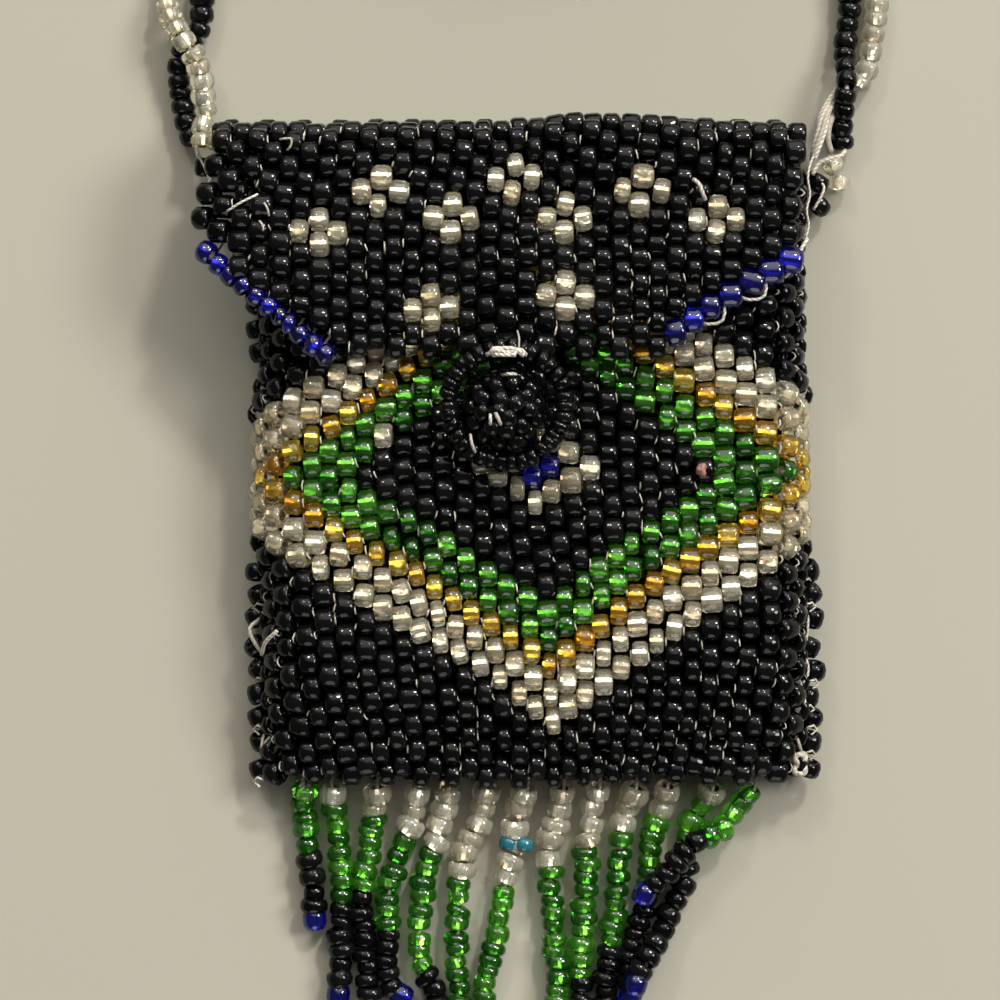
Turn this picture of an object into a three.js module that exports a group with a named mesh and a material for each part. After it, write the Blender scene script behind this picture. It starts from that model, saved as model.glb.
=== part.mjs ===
// A beaded medicine bag lying on its back: a small flat pouch woven from glass seed beads, with a flap
// that folds over its mouth, a loop and button, a bead fringe and a strap of two twisted bead strands.
// Millimetres, +Z up. The flap's fold is towards +Y and the fringe towards -Y. The origin is on the
// surface that the bag lies on, under the middle of the bag and its fringe.

import * as THREE from 'three';

// ---- driving dimensions
const BEAD = 2.1; // a seed bead's diameter, and so the thickness of every woven sheet
const GAP = 0.3; // air between neighbouring solids
const ROOM = 4.4; // clear height inside the pouch
const FOLD_Y = 41.2; // outer face of the flap's spine
const SEAM_Y = -14.8; // bottom edge, where the front and the back are sewn together
const MOUTH_Y = FOLD_Y - 3; // the front panel's upper edge
const TAPER = 16; // length over which the pouch thins down to its bottom edge
const SHOULDER = 3; // width of the rounded flank at each side of the front panel

// The pouch's sides, and how far the back and the flap are wider at the fold.
const POUCH_LEFT = -20.6;
const POUCH_RIGHT = 24.6;
const FOLD_LEFT = -24.7;
const FOLD_RIGHT = 25.1;
const WIDENING_Y = 24; // above this the left side runs out towards the fold

// The flap lies on the front panel. Its lower corners are cut off by two straight edges.
const FLAP_CORNERS = { left: [-26.2, 32.4], right: [24.2, 33] };
const FLAP_TIP = { left: -13.7, right: 11, y: 21.7 };
const SPINE_BEND = 2.1; // radius of the middle of the bend from the spine to the flap

const EDGE_RADIUS = 0.65; // the rows of beads sewn down both sides of the pouch
const EDGING = {
  left: { from: [-25.6, 30.3], to: [-15.2, 21.4], radius: 0.9 },
  right: { from: [24.2, 30.6], to: [13.2, 21.8], radius: 1.1 },
};

// The fastening: a ring of beads hanging from the flap's tip, round a domed button.
const LOOP = { x: -0.3, y: 17.3, radius: 4.9, thickness: 0.95, tilt: THREE.MathUtils.degToRad(14.5) };
const BUTTON = { x: -0.4, y: 17.2, radius: 3.4, height: 4.4 };

const FRINGE_RADIUS = 0.8;
const STRAP_RADIUS = 0.9;
const COIL = { x: 1, y: 80, inner: 5, outer: 16.5, height: 4.25 };

// ---- heights that follow from them
const BACK_Z = BEAD / 2;
const FLANK_Z = BEAD + GAP; // where the front panel's flanks end, just above the back
const ROOF_Z = BEAD + ROOM + BEAD / 2; // middle of the front panel's thickness
const FLAP_Z = ROOF_Z + BEAD + GAP; // middle of the flap's thickness
const HINGE_Z = BEAD + GAP / 2; // the line on which the flap folds, at the outer face
const BUTTON_Z = ROOF_Z + BEAD / 2 + GAP;

// ---- routes, as points [x, y, z]. All rest on the surface that the bag lies on.
const FRINGE = [
  [[-17.8, -15.6, 2.2], [-17.8, -17, 1.4], [-17.6, -19.1, 1], [-17.4, -21.1, 1], [-16.9, -23.6, 1],
    [-16.7, -27.1, 1]],
  [[-15.3, -15.6, 2.2], [-15.2, -17.2, 1.4], [-14.8, -20.4, 1], [-14.4, -24.4, 1], [-14.6, -27.3, 1],
    [-14.6, -30.7, 1], [-14.8, -33.8, 1]],
  [[-11.4, -15.6, 2.2], [-11.5, -17.5, 1.4], [-12, -20.5, 1], [-12.4, -22.8, 1], [-12.5, -25.1, 1],
    [-12.6, -28.6, 1], [-12.5, -32.5, 1]],
  [[-8.1, -15.6, 2.2], [-8.2, -17.5, 1.4], [-9.3, -20.8, 1], [-10.3, -23.8, 1], [-10.5, -27.3, 1],
    [-10.6, -30.7, 1], [-10.1, -33.1, 1], [-8.8, -34, 1]],
  [[-5.2, -15.6, 2.2], [-5.5, -17.2, 1.4], [-6.2, -19.8, 1], [-7.4, -23.4, 1], [-7.8, -26.9, 1],
    [-7.5, -31.2, 1], [-6.6, -33.3, 1], [-6.7, -37.2, 1], [-6.9, -38.6, 1]],
  [[-1.7, -15.6, 2.2], [-2.1, -17.3, 1.4], [-3.3, -20.1, 1], [-4.2, -23.4, 1], [-4.5, -28.6, 1],
    [-4.5, -34.6, 1], [-4.7, -38, 1], [-5, -40.6, 1]],
  [[1.5, -15.6, 2.2], [1, -17.3, 1.4], [0.4, -20.1, 1], [-0.4, -23.8, 1], [-1.1, -28.2, 1],
    [-2, -32, 1], [-2.4, -35.5, 1], [-2.7, -39, 1], [-2.7, -41.2, 1]],
  [[4.6, -15.6, 2.2], [4.3, -17.2, 1.4], [3.6, -20.4, 1], [3.5, -23.8, 1], [3.9, -28.2, 1],
    [4, -33.8, 1], [3.6, -37.4, 1], [3.1, -40.2, 1]],
  [[7.7, -15.6, 2.2], [7.3, -17.2, 1.4], [6.7, -20, 1], [6.6, -24.3, 1], [6.3, -28.6, 1],
    [6.1, -32.5, 1], [6.1, -35.9, 1], [6.4, -37.8, 1]],
  [[10.8, -15.6, 2.2], [10.3, -17, 1.4], [9.7, -19.5, 1], [9.3, -23.8, 1], [8.8, -29, 1],
    [8.2, -32.9, 1], [8.2, -36.2, 1]],
  [[13.5, -15.6, 2.2], [13.1, -17.2, 1.4], [12.3, -19.8, 1], [12.1, -22.6, 1], [11.6, -25.6, 1],
    [10.8, -28.6, 1], [10.3, -31.6, 1], [10.4, -34.4, 1]],
  [[17.4, -15.6, 2.2], [17, -16.7, 1.4], [15.6, -18.9, 1], [15, -21.5, 1], [14.9, -23.8, 1],
    [13.6, -26.4, 1], [12.9, -29, 1], [12.4, -31.9, 1]],
  [[21, -15.6, 2.2], [20.1, -16.7, 1.6], [18.1, -19.2, 2.2], [16.3, -20.2, 3], [14.4, -21.6, 3.3],
    [13, -23.3, 3.3], [11.6, -24.6, 3.3]],
];
const STRAP = {
  black_left: [[-27.1, 39.9, 1.1], [-27.6, 41.1, 1.1], [-28.1, 42.8, 1.1], [-28.4, 44.8, 1.1],
    [-28.5, 46.7, 1.1], [-27.8, 48.4, 1.1], [-26.6, 50, 1.1], [-26.5, 52.4, 1.1], [-24.9, 57.5, 1.1],
    [-20.8, 64.5, 1.1], [-17.4, 70.4, 1.1]],
  crystal_left: [[-26.1, 42.3, 1.3], [-26.3, 43.8, 1.5], [-26.5, 45.6, 2.3], [-26.9, 47.2, 3.1],
    [-27.7, 48.4, 3.4], [-28.9, 50.4, 2.4], [-29.5, 52.4, 1.3], [-28.4, 57.5, 1.1], [-24.4, 65, 1.6],
    [-20, 71.5, 3.6]],
  black_right: [[28.8, 39.6, 1.1], [28.5, 40.9, 1.5], [28.6, 42.7, 2.6], [28.8, 44.5, 3.3],
    [28.8, 46, 2.6], [28.8, 47.5, 1.5], [29, 49.6, 1.1], [29.3, 52.4, 1.1], [28.2, 57.5, 1.1],
    [24, 64.5, 1.1], [20, 71, 1.9]],
  crystal_right: [[29.9, 44.8, 1.1], [30.7, 46.2, 1.1], [31, 47.4, 1.1], [31.3, 49.4, 1.1],
    [31.6, 52.4, 1.1], [31.2, 57.5, 1.1], [28, 64.5, 1.7], [22.9, 71, 4]],
};
const KNOTS = {
  left: { route: [[-26.2, 38.9, 2], [-26.1, 37.7, 2]], radius: 0.6 },
  right: { route: [[28.4, 37.7, 1.1], [27.7, 36.6, 1.1], [27.1, 34.6, 1.1]], radius: 0.85 },
};

// ---- finishes
const glass = (color, roughness = 0.15) => new THREE.MeshStandardMaterial({ color, roughness });
const jet = () => glass(0x0a0a0b);
const cobalt = () => glass(0x10108c);
const emerald = () => glass(0x10691a);
const crystal = () => glass(0xcfc8b4, 0.1);

const group = new THREE.Group();

function add(name, geometry, material) {
  const mesh = new THREE.Mesh(geometry, material);
  mesh.name = name;
  group.add(mesh);
  return mesh;
}

const mix = THREE.MathUtils.lerp;
const smooth = THREE.MathUtils.smoothstep;

// ---- sheets

// A closed slab of a bead's thickness. surface(across, along) gives, for two numbers from 0 to 1, a point
// of the sheet's middle and the direction of its outer side; across, along and that side are right-handed.
function sheet(stepsAcross, stepsAlong, surface) {
  const positions = [];
  const row = stepsAcross + 1;
  const layer = row * (stepsAlong + 1);
  for (const side of [BEAD / 2, -BEAD / 2]) {
    for (let j = 0; j <= stepsAlong; j++) {
      for (let i = 0; i <= stepsAcross; i++) {
        const { point, outward } = surface(i / stepsAcross, j / stepsAlong);
        positions.push(...point.addScaledVector(outward, side));
      }
    }
  }
  const faces = [];
  const quad = (a, b, c, d) => faces.push(a, b, c, a, c, d);
  for (let j = 0; j < stepsAlong; j++) {
    for (let i = 0; i < stepsAcross; i++) {
      const a = j * row + i;
      quad(a, a + 1, a + row + 1, a + row);
      quad(layer + a, layer + a + row, layer + a + row + 1, layer + a + 1);
    }
  }
  for (let i = 0; i < stepsAcross; i++) {
    const end = stepsAlong * row + i;
    quad(i, layer + i, layer + i + 1, i + 1);
    quad(end, end + 1, layer + end + 1, layer + end);
  }
  for (let j = 0; j < stepsAlong; j++) {
    const a = j * row;
    const b = a + stepsAcross;
    quad(a, a + row, layer + a + row, layer + a);
    quad(b, layer + b, layer + b + row, b + row);
  }
  const geometry = new THREE.BufferGeometry();
  geometry.setAttribute('position', new THREE.Float32BufferAttribute(positions, 3));
  geometry.setIndex(faces);
  return geometry;
}

// The back lies flat and runs out to the fold's full width at its upper end.
function backPanel() {
  return sheet(10, 24, (across, along) => {
    const y = mix(SEAM_Y, FOLD_Y, along);
    const widening = smooth(y, WIDENING_Y, FOLD_Y);
    const left = mix(POUCH_LEFT, FOLD_LEFT, widening);
    const right = mix(POUCH_RIGHT, FOLD_RIGHT, widening);
    return { point: new THREE.Vector3(mix(left, right, across), y, BACK_Z), outward: new THREE.Vector3(0, 0, 1) };
  });
}

// The front is a low arch over the back: a flat roof between two flanks that are quarters of an ellipse.
// The roof comes down along a parabola to the bottom edge.
const FLANK_SHARE = 0.25; // each flank's share of the numbers across
const MOUTH_LEFT = -22; // the front's left side at the mouth

function frontPanel() {
  return sheet(24, 20, (across, along) => {
    const y = mix(SEAM_Y, MOUTH_Y, along);
    const left = mix(POUCH_LEFT, MOUTH_LEFT, smooth(y, WIDENING_Y, MOUTH_Y)) + BEAD / 2 + SHOULDER;
    const right = POUCH_RIGHT - BEAD / 2 - SHOULDER;
    const thinning = 1 - THREE.MathUtils.clamp((y - SEAM_Y) / TAPER, 0, 1);
    const rise = mix(ROOF_Z - FLANK_Z, BEAD / 2, thinning * thinning);
    const roof = THREE.MathUtils.clamp((across - FLANK_SHARE) / (1 - 2 * FLANK_SHARE), 0, 1);
    const turned = Math.min(across, FLANK_SHARE) + Math.max(across - 1 + FLANK_SHARE, 0);
    const angle = Math.PI * (1 - turned / (2 * FLANK_SHARE));
    const outward = new THREE.Vector3(Math.cos(angle), 0, Math.sin(angle));
    const x = mix(left, right, roof) + SHOULDER * outward.x;
    return { point: new THREE.Vector3(x, y, FLANK_Z + rise * outward.z), outward };
  });
}

// The flap rises from the fold as a narrow spine, bends over through a quarter circle and lies on the
// front panel as far as its tip.
const FLAP_STEPS = { spine: 3, bend: 5, side: 4, corner: 8 };

function flapStations() {
  const spine = { y: FOLD_Y - BEAD / 2, foot: BEAD + GAP, top: FLAP_Z - SPINE_BEND };
  const stations = [];
  for (let i = 0; i < FLAP_STEPS.spine; i++) {
    stations.push({ y: spine.y, z: mix(spine.foot, spine.top, i / FLAP_STEPS.spine), angle: 0 });
  }
  for (let i = 0; i <= FLAP_STEPS.bend; i++) {
    const angle = (Math.PI / 2) * (i / FLAP_STEPS.bend);
    const y = spine.y - SPINE_BEND * (1 - Math.cos(angle));
    stations.push({ y, z: spine.top + SPINE_BEND * Math.sin(angle), angle });
  }
  const flatFrom = spine.y - SPINE_BEND;
  const cornerY = FLAP_CORNERS.left[1];
  for (let i = 1; i <= FLAP_STEPS.side; i++) {
    stations.push({ y: mix(flatFrom, cornerY, i / FLAP_STEPS.side), z: FLAP_Z, angle: Math.PI / 2 });
  }
  for (let i = 1; i <= FLAP_STEPS.corner; i++) {
    stations.push({ y: mix(cornerY, FLAP_TIP.y, i / FLAP_STEPS.corner), z: FLAP_Z, angle: Math.PI / 2 });
  }
  return stations;
}

function flapSide(side, y) {
  const fold = side === 'left' ? FOLD_LEFT : FOLD_RIGHT;
  const [cornerX, cornerY] = FLAP_CORNERS[side];
  if (y > cornerY) return mix(cornerX, fold, (y - cornerY) / (FOLD_Y - cornerY));
  return mix(FLAP_TIP[side], cornerX, (y - FLAP_TIP.y) / (cornerY - FLAP_TIP.y));
}

function flap() {
  const stations = flapStations();
  return sheet(12, stations.length - 1, (across, along) => {
    const { y, z, angle } = stations[Math.round(along * (stations.length - 1))];
    const x = mix(flapSide('right', y), flapSide('left', y), across);
    return { point: new THREE.Vector3(x, y, z), outward: new THREE.Vector3(0, Math.cos(angle), Math.sin(angle)) };
  });
}

// ---- strands

// A closed round bar along a smooth curve through the points.
const STRAND_SIDES = 8;
const STRAND_STEP = 2.5; // in diameters

function strand(points, radius) {
  const route = new THREE.CatmullRomCurve3(points.map((point) => new THREE.Vector3(...point)));
  const section = new THREE.Shape();
  for (let i = 0; i < STRAND_SIDES; i++) {
    const angle = (2 * Math.PI * i) / STRAND_SIDES;
    const corner = [radius * Math.cos(angle), radius * Math.sin(angle)];
    if (i === 0) section.moveTo(...corner);
    else section.lineTo(...corner);
  }
  const steps = Math.max(2, Math.round(route.getLength() / (2 * radius * STRAND_STEP)) * 2);
  return new THREE.ExtrudeGeometry(section, { extrudePath: route, steps, bevelEnabled: false });
}

const twoDigits = (number) => String(number).padStart(2, '0');

// ---- the pouch

add('back_panel', backPanel(), jet());
add('front_panel', frontPanel(), jet());

const EDGE_Z = FLANK_Z + EDGE_RADIUS + 0.1;
const edgeOffset = GAP + EDGE_RADIUS;
for (const [side, pouch, mouth, outside] of [
  ['left', POUCH_LEFT, MOUTH_LEFT, -1],
  ['right', POUCH_RIGHT, POUCH_RIGHT, 1],
]) {
  const edge = [SEAM_Y + 1, 0, 12, WIDENING_Y, 31, MOUTH_Y].map((y) => {
    const x = mix(pouch, mouth, smooth(y, WIDENING_Y, MOUTH_Y));
    return [x + outside * edgeOffset, y, EDGE_Z];
  });
  add(`${side}_edge_beads`, strand(edge, EDGE_RADIUS), jet());
}

// The button is a dome of bead rings, turned about its own axis.
function dome({ radius, height }) {
  const profile = [new THREE.Vector2(0, 0), new THREE.Vector2(radius, 0)];
  const STRAIGHT = 0.35; // share of the height below the dome
  const DOME_STEPS = 6;
  for (let i = 0; i <= DOME_STEPS; i++) {
    const angle = (Math.PI / 2) * (i / DOME_STEPS);
    const level = height * (STRAIGHT + (1 - STRAIGHT) * Math.sin(angle));
    profile.push(new THREE.Vector2(i === DOME_STEPS ? 0 : radius * Math.cos(angle), level));
  }
  return new THREE.LatheGeometry(profile, 20).rotateX(Math.PI / 2);
}
add('button', dome(BUTTON), jet()).position.set(BUTTON.x, BUTTON.y, BUTTON_Z);

FRINGE.forEach((route, i) => add(`fringe_${twoDigits(i + 1)}`, strand(route, FRINGE_RADIUS), emerald()));

// ---- the flap and what is sewn to it

add('flap', flap(), jet());
for (const [side, { from, to, radius }] of Object.entries(EDGING)) {
  const middle = from.map((value, i) => (value + to[i]) / 2);
  const route = [from, middle, to].map((point) => [...point, FLAP_Z]);
  add(`flap_edging_${side}`, strand(route, radius), cobalt());
}

// The loop leans up over the flap's tip, so its middle is above the front panel by its lower side's
// thickness and half its own rise.
const loop = add('closure_loop', new THREE.TorusGeometry(LOOP.radius, LOOP.thickness, 8, 28), jet());
const loopRise = LOOP.radius * Math.sin(LOOP.tilt);
loop.rotation.x = LOOP.tilt;
loop.position.set(LOOP.x, LOOP.y, BUTTON_Z + LOOP.thickness + loopRise);

// ---- the strap

for (const [name, route] of Object.entries(STRAP)) {
  const finish = name.startsWith('black') ? jet() : crystal();
  add(`strap_${name}`, strand(route, STRAP_RADIUS), finish);
}
for (const [side, { route, radius }] of Object.entries(KNOTS)) {
  add(`strap_knot_${side}`, strand(route, radius), jet());
}

// The strap's spare length is wound up flat, the crystal strand's turns on top of the black strand's.
function coil() {
  const corners = [[COIL.inner, 0], [COIL.outer, 0], [COIL.outer, COIL.height], [COIL.inner, COIL.height]];
  const profile = [...corners, corners[0]].map(([radius, level]) => new THREE.Vector2(radius, level));
  return new THREE.LatheGeometry(profile, 32).rotateX(Math.PI / 2);
}
add('strap_coil_black', coil(), jet()).position.set(COIL.x, COIL.y, 0);
add('strap_coil_crystal', coil(), crystal()).position.set(COIL.x, COIL.y, COIL.height + GAP);

export default group;
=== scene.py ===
"""A beaded medicine bag lying on its back: a small flat pouch woven from glass seed beads in peyote stitch,
with a folded flap, a loop and a button of beads, a bead fringe and a strap of two bead strands.

Every bead is modelled: a rounded ring turned about its hole. The weaves are sheets worked out from two
numbers, a column and a half row, and the strands are routes that beads are threaded on.
Shapes are worked out in millimetres and made into meshes in metres. +Z is up, the fold is towards +Y.
"""

import math

import bpy
import numpy as np
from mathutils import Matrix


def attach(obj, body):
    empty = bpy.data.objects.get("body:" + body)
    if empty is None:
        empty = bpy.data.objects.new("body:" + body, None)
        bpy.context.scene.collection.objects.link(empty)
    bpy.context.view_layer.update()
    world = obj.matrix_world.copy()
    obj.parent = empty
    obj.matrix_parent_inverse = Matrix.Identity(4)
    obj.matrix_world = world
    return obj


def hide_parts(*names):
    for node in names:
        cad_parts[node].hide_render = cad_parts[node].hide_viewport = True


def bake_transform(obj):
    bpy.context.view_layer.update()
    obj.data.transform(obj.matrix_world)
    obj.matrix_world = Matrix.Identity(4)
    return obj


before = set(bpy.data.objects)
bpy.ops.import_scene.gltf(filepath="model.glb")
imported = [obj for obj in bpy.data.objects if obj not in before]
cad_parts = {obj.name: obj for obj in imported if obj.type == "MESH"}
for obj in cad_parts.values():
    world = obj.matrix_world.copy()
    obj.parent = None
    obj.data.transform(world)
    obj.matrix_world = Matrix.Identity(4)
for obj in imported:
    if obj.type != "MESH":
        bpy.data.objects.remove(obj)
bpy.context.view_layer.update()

MM = 0.001
rng = np.random.default_rng(1883)

# ---- driving dimensions, as the frame has them

BEAD = 2.1  # a bead's diameter, and so every weave's thickness
HALF_ROW = 1.055  # two half rows are one bead down a column
GAP = 0.3
FOLD_Y = 41.2
SEAM_Y = -14.8
MOUTH_Y = FOLD_Y - 3
TAPER = 16
POUCH_LEFT, POUCH_RIGHT = -20.6, 24.6
FOLD_LEFT, FOLD_RIGHT = -24.7, 25.1
MOUTH_LEFT = -22
WIDENING_Y = 24
FLAP_CORNERS = ((-26.2, 32.4), (24.2, 33.0))  # left and right, where the cut corners start
SPINE_BEND = 2.1
BACK_Z = BEAD / 2
FLANK_Z = BEAD + GAP
ROOF_Z = 7.55
FLAP_Z = ROOF_Z + BEAD + GAP
BUTTON_Z = ROOF_Z + BEAD / 2 + GAP
HEART = (1.97, 13.3)  # middle of the front's diamonds

# ---- the camera, straight above the bag

VIEW_FROM = (-0.84, 9.33, 308.6)
VIEW_ANGLE = 2 * math.atan(42.017 / 300)


def make_camera():
    """The camera, which looks straight down."""
    data = bpy.data.cameras.new("camera")
    data.angle = VIEW_ANGLE
    camera = bpy.data.objects.new("camera", data)
    camera.location = [value * MM for value in VIEW_FROM]
    bpy.context.scene.collection.objects.link(camera)
    bpy.context.scene.camera = camera


make_camera()

# ---- shader groups: effects that several finishes share

# How fine the glass's clouds, the film of handling and the glass's ripples are, in waves to the metre.
CLOUD_SCALE, FILM_SCALE, RIPPLE_SCALE = 900.0, 700.0, 1600.0


def new_group(name, inputs, outputs):
    """An empty shader group with named sockets. inputs and outputs are (name, kind, default)."""
    group = bpy.data.node_groups.new(name, "ShaderNodeTree")
    for way, sockets in (("INPUT", inputs), ("OUTPUT", outputs)):
        for label, kind, default in sockets:
            socket = group.interface.new_socket(label, in_out=way, socket_type=f"NodeSocket{kind}")
            if default is not None:
                socket.default_value = default
    return group, group.nodes.new("NodeGroupInput"), group.nodes.new("NodeGroupOutput")


def add_node(tree, kind, links=(), **settings):
    """A node with its settings made and its inputs linked. links are (input, output socket or value)."""
    node = tree.nodes.new(f"ShaderNode{kind}")
    for key, value in settings.items():
        setattr(node, key, value)
    for label, source in links:
        if isinstance(source, bpy.types.NodeSocket):
            tree.links.new(source, node.inputs[label])
        else:
            node.inputs[label].default_value = source
    return node


def mix_colours(tree, share, first, second):
    """The colour between first and second at share, as an output socket."""
    mixer = add_node(tree, "Mix", data_type="RGBA")
    for socket, source in ((mixer.inputs[0], share), (mixer.inputs[6], first), (mixer.inputs[7], second)):
        if isinstance(source, bpy.types.NodeSocket):
            tree.links.new(source, socket)
        else:
            socket.default_value = source
    return mixer.outputs[2]


def bead_tone_group():
    """Colour that differs from bead to bead, by the bead's own tone, and clouds softly inside a bead."""
    group, inputs, outputs = new_group(
        "bead_tone",
        [("Deep", "Color", (0, 0, 0, 1)), ("Bright", "Color", (1, 1, 1, 1)), ("Clouding", "Float", 0.3)],
        [("Color", "Color", None)],
    )
    tone = add_node(group, "Attribute", attribute_name="tone")
    place = add_node(group, "TexCoord")
    cloud = add_node(group, "TexNoise",
                     [("Vector", place.outputs["Object"]), ("Scale", CLOUD_SCALE), ("Detail", 2.0)])
    drift = add_node(group, "Math", [(0, cloud.outputs[0]), (1, 0.5)], operation="SUBTRACT")
    drift = add_node(group, "Math", [(0, drift.outputs[0]), (1, inputs.outputs["Clouding"])],
                     operation="MULTIPLY")
    share = add_node(group, "Math", [(0, tone.outputs["Fac"]), (1, drift.outputs[0])], use_clamp=True)
    colour = mix_colours(group, share.outputs[0], inputs.outputs["Deep"], inputs.outputs["Bright"])
    group.links.new(colour, outputs.inputs["Color"])
    return group


def handled_group():
    """The film left by handling: a roughness that wanders between two values, and shallow ripples."""
    group, inputs, outputs = new_group(
        "handled",
        [("Smooth", "Float", 0.05), ("Dull", "Float", 0.3)],
        [("Roughness", "Float", None), ("Height", "Float", None)],
    )
    place = add_node(group, "TexCoord")
    film = add_node(
        group, "TexNoise",
        [("Vector", place.outputs["Object"]), ("Scale", FILM_SCALE), ("Detail", 4.0)],
    )
    wander = add_node(
        group, "MapRange",
        [("Value", film.outputs[0]), (1, 0.35), (2, 0.75),
         (3, inputs.outputs["Smooth"]), (4, inputs.outputs["Dull"])],
    )
    ripple = add_node(group, "TexNoise",
                      [("Vector", place.outputs["Object"]), ("Scale", RIPPLE_SCALE), ("Detail", 1.0)])
    group.links.new(wander.outputs[0], outputs.inputs["Roughness"])
    group.links.new(ripple.outputs[0], outputs.inputs["Height"])
    return group


def twisted_ply_group():
    """Slanting ridges of twisted ply, from the thread's own UV map: u once round, v in millimetres."""
    group, inputs, outputs = new_group(
        "twisted_ply",
        [("Turns", "Float", 2.0), ("Pitch", "Float", 3.0)],
        [("Ridge", "Float", None)],
    )
    uv = add_node(group, "UVMap", uv_map="run")
    split = add_node(group, "SeparateXYZ", [(0, uv.outputs[0])])
    turns, pitch = inputs.outputs["Turns"], inputs.outputs["Pitch"]
    around = add_node(group, "Math", [(0, split.outputs[0]), (1, turns)], operation="MULTIPLY")
    down = add_node(group, "Math", [(0, split.outputs[1]), (1, pitch)], operation="MULTIPLY")
    phase = add_node(group, "Math", [(0, around.outputs[0]), (1, down.outputs[0])], operation="ADD")
    turn = add_node(group, "Math", [(0, phase.outputs[0]), (1, 2 * math.pi)], operation="MULTIPLY")
    wave = add_node(group, "Math", [(0, turn.outputs[0])], operation="SINE")
    ridge = add_node(group, "MapRange", [("Value", wave.outputs[0]), (1, -1.0), (2, 1.0), (3, 0.0), (4, 1.0)])
    group.links.new(ridge.outputs[0], outputs.inputs["Ridge"])
    return group


BEAD_TONE = bead_tone_group()
HANDLED = handled_group()
TWISTED_PLY = twisted_ply_group()

# ---- finishes


def new_finish(name):
    """A material with its node tree and the shader that a new one starts with."""
    material = bpy.data.materials.new(name)
    material.use_nodes = True
    tree = material.node_tree
    shader = tree.nodes["Principled BSDF"]
    return material, tree, shader


def use_group(tree, group, **values):
    """A group placed in a finish, with that finish's own values."""
    node = tree.nodes.new("ShaderNodeGroup")
    node.node_tree = group
    for label, value in values.items():
        node.inputs[label.replace("_", " ")].default_value = value
    return node


def bump(tree, shader, height, strength, distance):
    """Relief on a finish; distance is its depth in metres."""
    node = add_node(tree, "Bump", [("Height", height), ("Strength", strength), ("Distance", distance)])
    tree.links.new(node.outputs[0], shader.inputs["Normal"])


GLASS_IOR = 1.52
GLASS_RELIEF = 0.0001
PLY_RELIEF = 0.00006


def bead_glass(name, deep, bright, clear, smooth=0.03, dull=0.16, clouding=0.3, ripple=0.25, shine=0.5):
    """Glass of a bead. clear is the share of light that goes through it."""
    material, tree, shader = new_finish(name)
    tone = use_group(tree, BEAD_TONE, Deep=(*deep, 1), Bright=(*bright, 1), Clouding=clouding)
    film = use_group(tree, HANDLED, Smooth=smooth, Dull=dull)
    tree.links.new(tone.outputs["Color"], shader.inputs["Base Color"])
    tree.links.new(film.outputs["Roughness"], shader.inputs["Roughness"])
    bump(tree, shader, film.outputs["Height"], ripple, GLASS_RELIEF)
    shader.inputs["IOR"].default_value = GLASS_IOR
    shader.inputs["Transmission Weight"].default_value = clear
    shader.inputs["Specular IOR Level"].default_value = shine
    return material


def silver_lining():
    """Silvering on the wall of a bead's hole, partly rubbed and tarnished."""
    material, tree, shader = new_finish("silver_lining")
    tone = use_group(tree, BEAD_TONE, Deep=(0.45, 0.40, 0.32, 1), Bright=(0.97, 0.95, 0.90, 1), Clouding=0.8)
    film = use_group(tree, HANDLED, Smooth=0.16, Dull=0.34)
    tree.links.new(tone.outputs["Color"], shader.inputs["Base Color"])
    tree.links.new(film.outputs["Roughness"], shader.inputs["Roughness"])
    bump(tree, shader, film.outputs["Height"], 0.6, GLASS_RELIEF)
    shader.inputs["Metallic"].default_value = 1.0
    return material


def thread_finish(name, deep, bright, sheen):
    """Waxed sewing thread: slanting plies with painted shade in the grooves between them, a soft sheen and a
    little grime.
    """
    material, tree, shader = new_finish(name)
    tone = use_group(tree, BEAD_TONE, Deep=(*deep, 1), Bright=(*bright, 1), Clouding=0.7)
    ply = use_group(tree, TWISTED_PLY, Turns=2.0, Pitch=2.2)
    # painted shade: the grooves between the plies take the deep colour, the ridges the bead's own tone
    shade = mix_colours(tree, ply.outputs["Ridge"], (*deep, 1), tone.outputs["Color"])
    tree.links.new(shade, shader.inputs["Base Color"])
    bump(tree, shader, ply.outputs["Ridge"], 0.5, PLY_RELIEF)
    shader.inputs["Roughness"].default_value = 0.62
    shader.inputs["Sheen Weight"].default_value = sheen
    return material


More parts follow.
